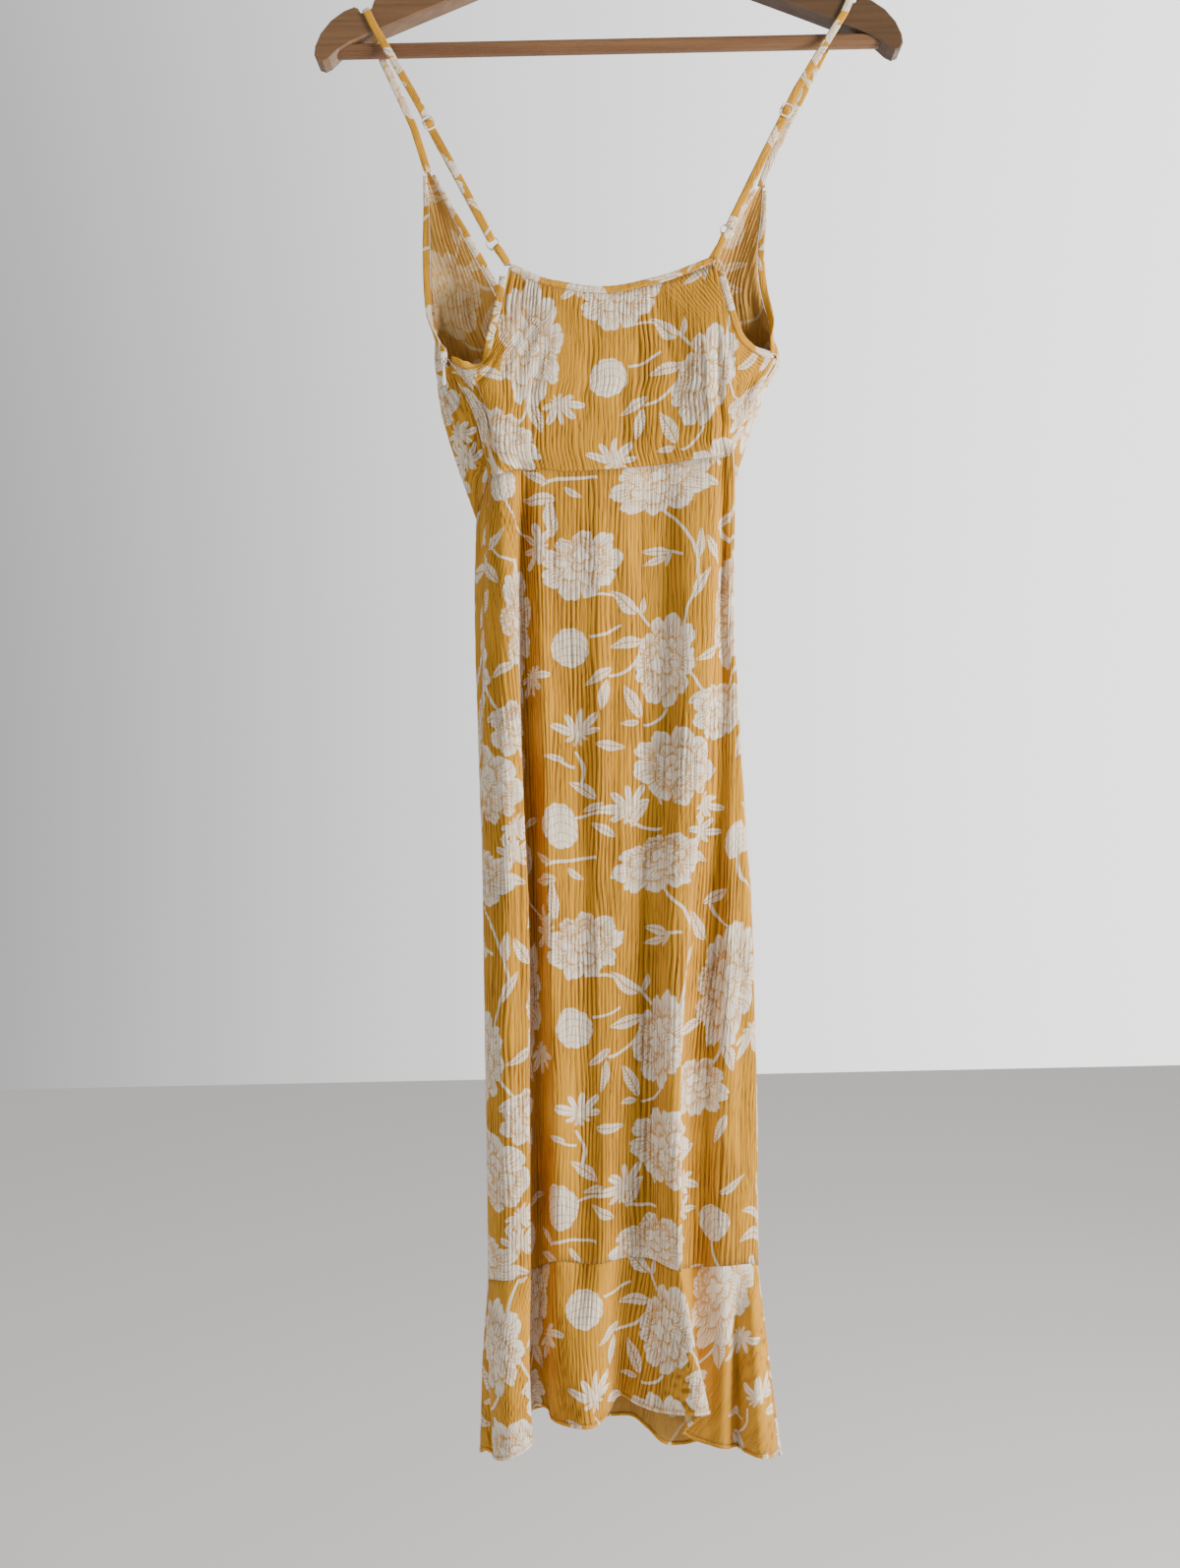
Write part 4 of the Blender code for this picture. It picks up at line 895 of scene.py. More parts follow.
@dataclass(frozen=True)
class FloralPrint:
    """The cloth's print: blooms, spiky flowers, buds, leaves and stems, in a repeat drawn by shader nodes."""

    width: float = 200.0
    height: float = 288.0
    stem: float = 1.15

    def local(self, weave: Weave, at: Socket, place: Place, turn: float, size: Place) -> Socket:
        """Bring the repeat to a motif's own coordinates, in which it fills the unit circle."""
        (x, y), wide, tall = place, self.width / 2, self.height / 2
        wrapped = weave.vector("WRAP", at, (x + wide, y + tall, 1), (x - wide, y - tall, -1))
        mapping = weave.node("ShaderNodeMapping", vector_type="TEXTURE")
        weave.feed(mapping.inputs[0], wrapped.outputs[0])
        mapping.inputs["Location"].default_value = (x, y, 0)
        mapping.inputs["Rotation"].default_value = (0, 0, math.radians(turn))
        mapping.inputs["Scale"].default_value = (*size, 1)
        return mapping.outputs[0]

    def nearest(self, weave: Weave, at: Socket, motifs: Sequence[Motif]) -> Socket:
        """Choose the own coordinates of the nearest motif. Their Z holds the motif's number."""
        best, best_far = None, None
        for number, (place, turn, size) in enumerate(motifs):
            own = self.local(weave, at, place, turn, size)
            own = weave.vector("MULTIPLY_ADD", own, (1, 1, 0), (0, 0, 0.37 * number)).outputs[0]
            far = weave.vector("LENGTH", weave.vector("MULTIPLY", own, (1, 1, 0)).outputs[0]).outputs["Value"]
            if best is None:
                best, best_far = own, far
                continue
            nearer = weave.math("LESS_THAN", far, best_far)
            best, best_far = weave.choose(nearer, best, own), weave.math("MINIMUM", far, best_far)
        return best

    def polar(self, weave: Weave, own: Socket) -> tuple[Socket, Socket, Socket]:
        """Give the distance from the middle, the angle and the motif's number of own coordinates."""
        node = weave.node("ShaderNodeSeparateXYZ")
        weave.feed(node.inputs[0], own)
        x, y, number = node.outputs
        far = weave.math("SQRT", weave.plus(weave.times(x, x), weave.times(y, y)))
        return far, weave.math("ARCTAN2", y, x), number

    def lobed(
        self, weave: Weave, angle: Socket, number: Socket, lobes: float, reach: float, depth: float
    ) -> Socket:
        """An outline of round petals: its distance from the middle at each angle."""
        turned = weave.scaled(angle, lobes / 2, weave.times(number, lobes))
        wave = weave.power(weave.size(weave.sine(turned)), 0.55)
        return weave.scaled(wave, depth, reach - depth)

    def bloom(self, weave: Weave, own: Socket, ruffle: Socket) -> tuple[Socket, Socket]:
        """A many-petalled bloom, whose inner petals sit off its middle.

        Args:
            weave: The tree.
            own: The motif's own coordinates.
            ruffle: Noise that makes the outline uneven.

        Returns:
            Where the bloom is, and where its fine lines are.
        """
        far, angle, number = self.polar(weave, own)
        far = weave.scaled(ruffle, 0.15, far)
        rim = self.lobed(weave, angle, number, 9, 1.0, 0.24)
        bulge = weave.sine(weave.scaled(angle, 2.0, weave.times(number, 5.0)))
        notch = weave.power(weave.size(weave.sine(weave.times(angle, 11.3))), 0.6)
        rim = weave.scaled(bulge, 0.10, weave.scaled(notch, 0.06, weave.less(rim, 0.06)))
        off = weave.less(far, rim)
        shape = weave.step(off, 0.02, -0.02)
        lines = self.hatch(weave, weave.plus(off, 0.36), angle, ruffle, 56, 0.36)
        broken = weave.step(ruffle, -0.22, -0.02)
        for lobes, reach, depth, move in INNER_PETALS:
            inner = weave.vector("ADD", own, (*move, 0.3 * lobes)).outputs[0]
            near, turn, phase = self.polar(weave, inner)
            near = weave.scaled(ruffle, 0.16, near)
            off = weave.less(near, self.lobed(weave, turn, phase, lobes, reach, depth))
            line = weave.times(weave.step(weave.size(off), 0.044, 0.018), broken)
            rays = self.hatch(weave, off, turn, ruffle, 22 + 4 * lobes, 0.28)
            lines = weave.larger(lines, weave.larger(weave.times(line, 0.9), rays))
        return shape, lines

    def hatch(
        self, weave: Weave, off: Socket, angle: Socket, ruffle: Socket, count: float, reach: float
    ) -> Socket:
        """Fine lines that run out from an edge, each to its own length."""
        bent = weave.scaled(angle, count, weave.times(ruffle, 9))
        rays = weave.step(weave.sine(bent), -0.35, 0.6)
        uneven = weave.sine(weave.times(angle, 0.37 * count))
        ends = weave.scaled(uneven, 0.45 * reach, reach)
        fade = weave.times(weave.step(off, ends, 0.0), weave.step(off, -0.015, 0.01))
        return weave.times(weave.times(rays, fade), 0.85)

    def spray(self, weave: Weave, own: Socket, ruffle: Socket) -> tuple[Socket, Socket]:
        """A half-open flower of pointed petals, longest at the top of its fan."""
        far, angle, number = self.polar(weave, own)
        turned = weave.scaled(angle, 4.5, number)
        tooth = weave.power(weave.size(weave.math("COSINE", turned)), 1.15)
        fan = weave.step(weave.sine(angle), -1.0, 0.5)
        uneven = weave.times(weave.sine(weave.scaled(angle, 2.6, number)), 0.12)
        reach = weave.plus(weave.scaled(tooth, 0.58, 0.34), uneven)
        reach = weave.times(reach, weave.scaled(fan, 0.58, 0.42))
        off = weave.less(weave.scaled(ruffle, 0.13, far), reach)
        shape = weave.step(off, 0.03, -0.03)
        rib = weave.step(weave.size(weave.sine(turned)), 0.15, 0.04)
        rays = self.hatch(weave, weave.less(far, 0.10), angle, ruffle, 58, 0.55)
        lines = weave.larger(weave.times(rib, weave.step(far, 0.1, 0.3)), rays)
        return shape, lines

    def bud(self, weave: Weave, own: Socket, ruffle: Socket) -> tuple[Socket, Socket]:
        """A round bud with a net of fine lines."""
        far, angle, number = self.polar(weave, own)
        outline = self.lobed(weave, angle, number, 11, 0.98, 0.08)
        shape = weave.step(weave.less(weave.scaled(ruffle, 0.1, far), outline), 0.03, -0.03)
        x, y = weave.split(own)
        bent = weave.scaled(weave.times(x, x), 0.5, y)
        rows = weave.step(weave.sine(weave.times(bent, 17)), 0.82, 0.98)
        lines = weave.step(weave.sine(weave.scaled(x, 24, weave.times(ruffle, 3))), 0.86, 0.99)
        return shape, weave.times(weave.larger(rows, lines), 0.6)

    def leaf(self, weave: Weave, own: Socket, ruffle: Socket) -> tuple[Socket, Socket]:
        """A pointed leaf with a midrib and slanted veins."""
        x, y = weave.split(own)
        swell = weave.less(1.0, weave.times(x, x))
        swell = weave.times(swell, weave.scaled(x, -0.28, 0.86))
        wide = weave.size(weave.scaled(ruffle, 0.12, y))
        inside = weave.step(weave.less(wide, swell), 0.05, -0.05)
        within = weave.step(weave.size(x), 1.0, 0.96)
        rib = weave.step(weave.size(y), 0.13, 0.05)
        slanted = weave.sine(weave.scaled(x, 30, weave.times(weave.size(y), -9)))
        veins = weave.times(weave.step(slanted, 0.35, 0.9), 0.7)
        return weave.times(inside, within), weave.larger(rib, veins)

    def stems(self, weave: Weave, at: Socket) -> Socket:
        """All the stems: thin bowed lines."""
        found: Socket | None = None
        for x0, y0, x1, y1, bow in STEMS:
            half = math.hypot(x1 - x0, y1 - y0) / 2
            turn = math.degrees(math.atan2(y1 - y0, x1 - x0))
            own = self.local(weave, at, ((x0 + x1) / 2, (y0 + y1) / 2), turn, (half, half))
            x, y = weave.split(own)
            arch = weave.scaled(weave.times(x, x), 2 * bow, -2 * bow)
            off = weave.size(weave.plus(y, arch))
            line = weave.step(off, (self.stem + 0.35) / half, (self.stem - 0.35) / half)
            line = weave.times(line, weave.math("LESS_THAN", weave.size(x), 1.0))
            found = line if found is None else weave.larger(found, line)
        return found

    def group(self) -> bpy.types.NodeTree:
        """Build the print as a node group, from a place in millimetres to how white the print is there."""
        tree = bpy.data.node_groups.new("floral_print", "ShaderNodeTree")
        tree.interface.new_socket("Place", in_out="INPUT", socket_type="NodeSocketVector")
        tree.interface.new_socket("White", in_out="OUTPUT", socket_type="NodeSocketFloat")
        weave = Weave(tree)
        given = weave.node("NodeGroupInput").outputs[0]
        drift = weave.noise(given, 0.045, 1.0)
        drift = weave.vector("SUBTRACT", drift.outputs["Color"], (0.5, 0.5, 0.5))
        drift = weave.vector("SCALE", drift.outputs[0])
        drift.inputs["Scale"].default_value = 5.0
        at = weave.vector("ADD", given, drift.outputs[0]).outputs[0]
        ruffle = weave.less(weave.noise(given, 0.16, 2.0).outputs[0], 0.5)

        leaf_motifs = [((x, y), turn, (half, half * 0.36)) for x, y, turn, half in LEAVES]
        kinds = (
            (self.leaf, leaf_motifs),
            (self.spray, [((x, y), turn, (half, half)) for x, y, turn, half in SPRAYS]),
            (self.bud, [((x, y), turn, (wide, tall)) for x, y, turn, wide, tall in BUDS]),
            (self.bloom, [((x, y), turn, (wide, tall)) for x, y, turn, wide, tall in BLOOMS]),
        )
        white = weave.times(self.stems(weave, at), 0.9)
        for draw, motifs in kinds:
            shape, lines = draw(weave, self.nearest(weave, at, motifs), ruffle)
            inner = weave.scaled(lines, -0.88, 1.0)
            node = weave.node("ShaderNodeMix", data_type="FLOAT")
            weave.feed(node.inputs[0], shape)
            weave.feed(node.inputs[2], white)
            weave.feed(node.inputs[3], inner)
            white = node.outputs[0]
        out = weave.node("NodeGroupOutput")
        weave.feed(out.inputs[0], white)
        return tree


def new_finish(name: str) -> tuple[bpy.types.Material, Weave, bpy.types.Node]:
    """Make a material, and give it with its weave and its shader."""
    material = bpy.data.materials.new(name)
    material.use_nodes = True
    return material, Weave(material.node_tree), material.node_tree.nodes["Principled BSDF"]


@dataclass(frozen=True)
class CrinkleCloth:
    """Crinkled mustard viscose, printed off-white, whose reverse shows the print paler, and whose crinkle
    grooves get painted shade.
    """

    ground: Colour = (0.63, 0.305, 0.018)
    # Painted shade: in the crinkle's grooves the ground darkens towards the next colour, and the print's
    # white towards the shaded one.
    groove_shade: Colour = (0.20, 0.075, 0.003)
    white: Colour = (0.87, 0.785, 0.665)
    shaded: Colour = (0.33, 0.255, 0.18)
    reverse_ground: Colour = (0.58, 0.31, 0.065)
    reverse_white: Colour = (0.70, 0.50, 0.27)
    fine_pitch: float = 1.55
    roughness: float = 0.84

    def material(self, name: str, printed: bpy.types.NodeTree) -> bpy.types.Material:
        """Build the material, which reads the piece's UV map in metres and its groove and reverse values, and
        paints shade into the grooves.
        """
        material, weave, shader = new_finish(name)
        scaled = weave.vector("SCALE", weave.node("ShaderNodeUVMap", uv_map="UVMap").outputs[0])
        scaled.inputs["Scale"].default_value = 1000.0
        place = scaled.outputs[0]
        group = weave.node("ShaderNodeGroup", node_tree=printed)
        weave.feed(group.inputs[0], place)

        groove = weave.node("ShaderNodeAttribute", attribute_name=GROOVE_SHADE).outputs["Fac"]
        reverse = weave.node("ShaderNodeAttribute", attribute_name=REVERSE).outputs["Fac"]
        fine = self.fine_ridges(weave, place)
        thread = weave.noise(weave.vector("MULTIPLY", place, (3.1, 2.2, 1)).outputs[0], 1.0, 1.0).outputs[0]
        patches = weave.noise(place, 0.020, 2.0).outputs[0]
        # Painted shade, strongest in the fine crinkle's grooves and in the mesh's grooves, plus a little
        # darkening in random patches, which is the cloth's own uneven tone.
        dark = weave.times(weave.less(1.0, fine), 0.50)
        dark = weave.scaled(weave.step(groove, 0.10, 0.62), 0.64, dark)
        dark = weave.scaled(weave.step(patches, 0.35, 0.7), 0.10, dark)

        ground = weave.mix(reverse, self.ground, self.reverse_ground)
        # Both the ground and the print's white take the painted shade.
        ground = weave.mix(dark, ground, self.groove_shade)
        white = weave.mix(reverse, self.white, self.reverse_white)
        white = weave.mix(weave.times(dark, 0.8), white, self.shaded)
        weave.feed(shader.inputs["Base Color"], weave.mix(group.outputs[0], ground, white))
        shader.inputs["Roughness"].default_value = self.roughness
        shader.inputs["Specular IOR Level"].default_value = 0.22
        shader.inputs["Sheen Weight"].default_value = 0.10
        shader.inputs["Sheen Roughness"].default_value = 0.5

        bump = weave.node("ShaderNodeBump")
        weave.feed(bump.inputs["Height"], weave.scaled(thread, 0.35, fine))
        bump.inputs["Strength"].default_value = 0.8
        bump.inputs["Distance"].default_value = 0.0004
        weave.feed(shader.inputs["Normal"], bump.outputs[0])
        return material

    def fine_ridges(self, weave: Weave, place: Socket) -> Socket:
        """Draw the finest ridges of the crinkle, from 0 in a groove to 1, for the bump and for painted shade
        in their grooves.
        """
        across, _ = weave.split(place)
        slow = weave.noise(weave.vector("MULTIPLY", place, (0.14, 0.022, 1)).outputs[0], 1.0, 1.0).outputs[0]
        quick = weave.noise(weave.vector("MULTIPLY", place, (0.45, 0.075, 1)).outputs[0], 1.0, 0.0).outputs[0]
        phase = weave.scaled(slow, 9.0, weave.times(across, math.pi / self.fine_pitch))
        phase = weave.scaled(quick, 4.0, phase)
        ridge = weave.power(weave.size(weave.sine(phase)), 0.7)
        slow = weave.vector("MULTIPLY", place, (0.10, 0.03, 1)).outputs[0]
        strong = weave.step(weave.noise(slow, 1.0, 1.0).outputs[0], 0.3, 0.6)
        flat = weave.scaled(strong, 0.65, 0.35)
        return weave.less(1.0, weave.times(weave.less(1.0, ridge), flat))


@dataclass(frozen=True)
class Thread:
    """Sewing thread."""

    colour: Colour = (0.62, 0.33, 0.06)

    def material(self, name: str) -> bpy.types.Material:
        """Build the material, with a fine twist."""
        material, weave, shader = new_finish(name)
        at = weave.node("ShaderNodeTexCoord").outputs["Object"]
        twist = weave.noise(at, 2400.0, 1.0, "3D").outputs[0]
        darker = tuple(0.75 * value for value in self.colour)
        weave.feed(shader.inputs["Base Color"], weave.mix(twist, darker, self.colour))
        shader.inputs["Roughness"].default_value = 0.7
        return material


@dataclass(frozen=True)
class Enamel:
    """Cream enamel on cast metal, a little rubbed."""

    colour: Colour = (0.84, 0.77, 0.66)

    def material(self, name: str) -> bpy.types.Material:
        """Build the material."""
        material, weave, shader = new_finish(name)
        at = weave.node("ShaderNodeTexCoord").outputs["Object"]
        rubbed = weave.noise(at, 420.0, 3.0, "3D").outputs[0]
        worn = tuple(0.82 * value for value in self.colour)
        weave.feed(shader.inputs["Base Color"], weave.mix(weave.step(rubbed, 0.55, 0.75), self.colour, worn))
        weave.feed(shader.inputs["Roughness"], weave.scaled(rubbed, 0.3, 0.18))
        shader.inputs["Coat Weight"].default_value = 0.3
        return material


@dataclass(frozen=True)
class Wood:
    """Varnished wood with its grain along X, and painted shade that makes one arm darker than the other."""

    light: Colour
    dark: Colour
    # The share of its colour that each arm keeps: below 1 it is painted shade.
    left: float = 1.0
    right: float = 1.0
    grain: float = 1.0

    def material(self, name: str) -> bpy.types.Material:
        """Build the material from Object coordinates."""
        material, weave, shader = new_finish(name)
        at = weave.node("ShaderNodeTexCoord").outputs["Object"]
        along, _ = weave.split(at)
        slanted = weave.vector("MULTIPLY", at, (9.0 * self.grain, 160.0, 210.0)).outputs[0]
        bands = weave.noise(slanted, 1.0, 3.0, "3D").outputs[0]
        pores = weave.vector("MULTIPLY", at, (60.0, 1900.0, 1900.0)).outputs[0]
        pore = weave.step(weave.noise(pores, 1.0, 1.0, "3D").outputs[0], 0.62, 0.72)
        colour = weave.mix(weave.step(bands, 0.3, 0.7), self.light, self.dark)
        colour = weave.mix(weave.times(pore, 0.35), colour, tuple(0.5 * value for value in self.dark))
        # Painted shade: each arm, on -X and on +X, keeps its own share of the colour.
        arm_shade = weave.mix(weave.step(along, -0.004, 0.004), (self.left,) * 3, (self.right,) * 3)
        arm_shaded = weave.mix(1.0, colour, arm_shade)
        arm_shaded.node.blend_type = "MULTIPLY"
        weave.feed(shader.inputs["Base Color"], arm_shaded)
        weave.feed(shader.inputs["Roughness"], weave.scaled(bands, 0.2, 0.32))
        shader.inputs["Coat Weight"].default_value = 0.25
        bump = weave.node("ShaderNodeBump")
        weave.feed(bump.inputs["Height"], weave.scaled(pore, -1.0, weave.times(bands, 0.4)))
        bump.inputs["Strength"].default_value = 0.25
        bump.inputs["Distance"].default_value = 0.0003
        weave.feed(shader.inputs["Normal"], bump.outputs[0])
        return material


@dataclass(frozen=True)
class PlatedWire:
    """Plated steel wire with fine drawing marks."""

    colour: Colour = (0.62, 0.61, 0.58)

    def material(self, name: str) -> bpy.types.Material:
        """Build the material."""
        material, weave, shader = new_finish(name)
        at = weave.node("ShaderNodeTexCoord").outputs["Object"]
        marks = weave.noise(at, 900.0, 3.0, "3D").outputs[0]
        dull = tuple(0.8 * value for value in self.colour)
        weave.feed(shader.inputs["Base Color"], weave.mix(marks, dull, self.colour))
        weave.feed(shader.inputs["Roughness"], weave.scaled(marks, 0.25, 0.18))
        shader.inputs["Metallic"].default_value = 1.0
        return material


@dataclass(frozen=True)
class Finishes:
    """Every material of the object."""

    cloth: bpy.types.Material
    thread: bpy.types.Material
    enamel: bpy.types.Material
    arm_wood: bpy.types.Material
    bar_wood: bpy.types.Material
    steel: bpy.types.Material

    @classmethod
    def mixed(cls) -> Finishes:
        """Build them all."""
        return cls(
            cloth=CrinkleCloth().material("crinkle_cloth", FloralPrint().group()),
            thread=Thread().material("sewing_thread"),
            enamel=Enamel().material("cream_enamel_finish"),
            # The right arm keeps 0.55 of its colour: painted shade.
            arm_wood=Wood(
                (0.185, 0.100, 0.046), (0.140, 0.070, 0.030), 1.0, 0.55
            ).material("arm_wood_finish"),
            bar_wood=Wood((0.21, 0.105, 0.045), (0.14, 0.062, 0.025), grain=0.6).material("bar_wood_finish"),
            steel=PlatedWire().material("plated_wire"),
        )


def placed(
    obj: bpy.types.Object, material: bpy.types.Material, slot: Slot, *nodes: str, body: str = ROOT
) -> bpy.types.Object:
    """Give a finished piece its material and body, and hide the CAD nodes that it stands for."""
    obj.data.materials.clear()
    obj.data.materials.append(material)
    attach(obj, body)
    if nodes:
        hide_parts(*nodes)
    LOG.info("%s: %d faces", obj.name, len(obj.data.polygons))
    return obj


def ringed_shell(name: str, grid: Grid, closed: bool = False) -> bpy.types.Object:
    """Join rings of points, each to the next, into a smooth closed mesh.

    Args:
        name: The object's name.
        grid: The rings, one to a row.
        closed: Whether the last ring meets the first. Where it doesn't, both get a cap.

    Returns:
        The object.
    """
    rows, sides = grid.shape[:2]
    faces: list[tuple[int, ...]] = []
    for r in range(rows if closed else rows - 1):
        s = (r + 1) % rows
        for c in range(sides):
            d = (c + 1) % sides
            faces.append((r * sides + c, r * sides + d, s * sides + d, s * sides + c))
    if not closed:
        faces.append(tuple(reversed(range(sides))))
        faces.append(tuple((rows - 1) * sides + c for c in range(sides)))
    obj = new_mesh_object(name, grid, turned_out(grid, faces))
    obj.data.shade_smooth()
    return obj


def flat_tube(
    name: str, path: Path, across: np.ndarray | Sequence[float], width: float | np.ndarray, wall: float,
    sides: int = 12, wobble: float = 0.0, print_offset: tuple[float, float] | np.ndarray = (0.0, 0.0),
) -> bpy.types.Object:
    """Sweep a flat rounded section along a path.

    Args:
        name: The piece's name.
        path: The middle of the section at each step.
        across: The way its width lies.
        width: Its width, or one for each step.
        wall: Its thickness.
        sides: Points round the section.
        wobble: Height of the crinkle on its faces.
        print_offset: Where in the print the piece is cut, or its place in the print at each step.

    Returns:
        A closed mesh with a UV map in metres.
    """
    path = np.asarray(path, float)
    along = unit(np.gradient(path, axis=0))
    across = np.broadcast_to(np.asarray(across, float), path.shape)
    across = unit(across - np.sum(across * along, axis=1, keepdims=True) * along)
    out = np.cross(along, across)
    width = np.broadcast_to(np.asarray(width, float), (len(path),))
    far = travelled(path)
    noise = Noise(31)
    angles = (np.arange(sides) + 0.5) * TAU / sides
    rings, texture = [], []
    for a in angles:
        x = math.copysign(abs(math.cos(a)) ** 0.55, math.cos(a))
        y = math.copysign(abs(math.sin(a)) ** 0.8, math.sin(a))
        bumps = wobble * noise(far / 2.2, np.full(len(far), 2.0 * a))
        lift = y * wall / 2 + np.sign(y) * bumps
        rings.append(path + x * width[:, None] / 2 * across + lift[:, None] * out)
        texture.append(np.stack([x * width / 2 + (40 if y < 0 else 0), -far], axis=1))
    grid, offset = np.stack(rings, axis=1), np.asarray(print_offset, float)
    if offset.ndim > 1:
        flat = np.repeat(offset[:, None], sides, axis=1)
    else:
        flat = np.stack(texture, axis=1) + offset
    obj = ringed_shell(name, grid)
    write_uv(obj.data, flat.reshape(-1, 2))
    return obj


def round_wire(
    name: str, path: Path, radius: float, closed: bool = False, sides: int = 12
) -> bpy.types.Object:
    """Sweep a round section along a path in a plane of constant Y, or nearly so.

    Args:
        name: The piece's name.
        path: The wire's middle line.
        radius: The wire's radius.
        closed: Whether the path's ends meet.
        sides: Points round the section.

    Returns:
        A closed mesh.
    """
    path = np.asarray(path, float)
    steps = (np.roll(path, -1, axis=0) - np.roll(path, 1, axis=0)) if closed else np.gradient(path, axis=0)
    along = unit(steps)
    side = unit(np.cross(along, DEPTH))
    depth = np.cross(side, along)
    angles = np.arange(sides) * TAU / sides
    rings = [path + radius * (math.cos(a) * side + math.sin(a) * depth) for a in angles]
    return ringed_shell(name, np.stack(rings, axis=1), closed)


class Repeats:
    """A Geometry Nodes tree that lays one small rounded bead after another along a path."""

    def __init__(self) -> None:
        """Build the tree."""
        self.tree = bpy.data.node_groups.new("beads_along_path", "GeometryNodeTree")
        interface = self.tree.interface
        interface.new_socket("Path", in_out="INPUT", socket_type="NodeSocketGeometry")
        for name, value in (("Spacing", 0.0026), ("Length", 0.0009), ("Thickness", 0.0003)):
            socket = interface.new_socket(name, in_out="INPUT", socket_type="NodeSocketFloat")
            socket.default_value = value
        interface.new_socket("Finish", in_out="INPUT", socket_type="NodeSocketMaterial")
        interface.new_socket("Beads", in_out="OUTPUT", socket_type="NodeSocketGeometry")
        weave = Weave(self.tree)
        given = weave.node("NodeGroupInput").outputs
        curve = weave.node("GeometryNodeMeshToCurve")
        weave.feed(curve.inputs[0], given["Path"])
        even = weave.node("GeometryNodeResampleCurve", mode="LENGTH")
        weave.feed(even.inputs["Curve"], curve.outputs[0])
        weave.feed(even.inputs["Length"], given["Spacing"])
        bead = weave.node("GeometryNodeMeshUVSphere")
        bead.inputs["Segments"].default_value = 6
        bead.inputs["Rings"].default_value = 4
        bead.inputs["Radius"].default_value = 1.0
        turn = weave.node("FunctionNodeAlignRotationToVector", axis="Z")
        weave.feed(turn.inputs["Vector"], weave.node("GeometryNodeInputTangent").outputs[0])
        size = weave.join(given["Thickness"], given["Thickness"], given["Length"])
        beads = weave.node("GeometryNodeInstanceOnPoints")
        weave.feed(beads.inputs["Points"], even.outputs[0])
        weave.feed(beads.inputs["Instance"], bead.outputs[0])
        weave.feed(beads.inputs["Rotation"], turn.outputs[0])
        weave.feed(beads.inputs["Scale"], size)
        real = weave.node("GeometryNodeRealizeInstances")
        weave.feed(real.inputs[0], beads.outputs[0])
        finish = weave.node("GeometryNodeSetMaterial")
        weave.feed(finish.inputs["Geometry"], real.outputs[0])
        weave.feed(finish.inputs["Material"], given["Finish"])
        weave.feed(weave.node("NodeGroupOutput").inputs[0], finish.outputs[0])

    def along(self, name: str, paths: Sequence[Path], spacing: float, length: float, thick: float,
              finish: bpy.types.Material) -> bpy.types.Object:
        """Lay beads along paths and turn them into one plain mesh.

        Args:
            name: The piece's name.
            paths: The paths, in millimetres.
            spacing: Distance from bead to bead.
            length: Half of a bead's length along the path.
            thick: Half of its thickness.
            finish: Its material.

        Returns:
            The beads as one object.
        """
        points = np.concatenate(paths)
        edges, start = [], 0
        for path in paths:
            edges += [(start + k, start + k + 1) for k in range(len(path) - 1)]
            start += len(path)
        mesh = bpy.data.meshes.new(name + "_path")
        mesh.from_pydata((points * MM).tolist(), edges, [])
        guide = bpy.data.objects.new(name + "_path", mesh)
        bpy.context.scene.collection.objects.link(guide)
        modifier = guide.modifiers.new("beads", "NODES")
        modifier.node_group = self.tree
        values = {"Spacing": spacing * MM, "Length": length * MM, "Thickness": thick * MM, "Finish": finish}
        for item in self.tree.interface.items_tree:
            if item.in_out == "INPUT" and item.name in values:
                modifier[item.identifier] = values[item.name]
        bpy.context.view_layer.update()
        graph = bpy.context.evaluated_depsgraph_get()
        beads = bpy.data.meshes.new_from_object(guide.evaluated_get(graph))
        bpy.data.objects.remove(guide)
        beads.name = name
        beads.shade_smooth()
        obj = bpy.data.objects.new(name, beads)
        bpy.context.scene.collection.objects.link(obj)
        return obj


def creases(*rows: tuple[float, ...]) -> tuple[Crease, ...]:
    """Make creases from rows of a table."""
    return tuple(Crease(*row) for row in rows)


# Main creases that the folds' tables don't hold: place, start and end down the panel, width, depth, lean
SKIRT_BACK_CREASES = creases(
    (1.6, 30, 330, 4.7, 2.1, 0.01), (2.6, 260, 560, 5.4, 1.9), (7.5, 20, 420, 6.1, 2.1, -0.01),
    (8.3, 180, 590, 6.8, 2.6, 0.01), (8.9, 10, 240, 5.4, -1.6), (9.4, 60, 520, 6.5, 2.4, -0.02),
    (10.2, 20, 330, 7.6, 2.6, 0.01), (10.7, 300, 600, 5.8, 2.1, 0.02), (11.4, 40, 260, 5.8, 1.9),
    (12.0, 200, 560, 6.5, -1.9, 0.01), (15.2, 60, 420, 6.1, 2.6, 0.02), (15.6, 240, 600, 6.1, 2.9, -0.01),
    (16.1, 120, 560, 5.8, 2.4, 0.02), (16.5, 10, 240, 5.4, -1.8, 0.02),
)
SKIRT_FRONT_CREASES = creases(
    (18.5, 30, 400, 6.5, 2.1, 0.01), (19.4, 200, 560, 6.1, 2.2, -0.01), (20.5, 20, 260, 6.8, 2.4, 0.02),
    (21.3, 120, 520, 7.2, 2.6, 0.0), (22.1, 30, 300, 6.1, -1.8, 0.01), (22.8, 260, 590, 6.5, 2.4, -0.02),
    (23.6, 40, 380, 6.8, 2.2, 0.01), (24.4, 180, 560, 6.1, 2.1, 0.0), (25.3, 20, 280, 6.5, -1.9, -0.01),
    (25.8, 240, 580, 5.8, 2.2, 0.02),
)
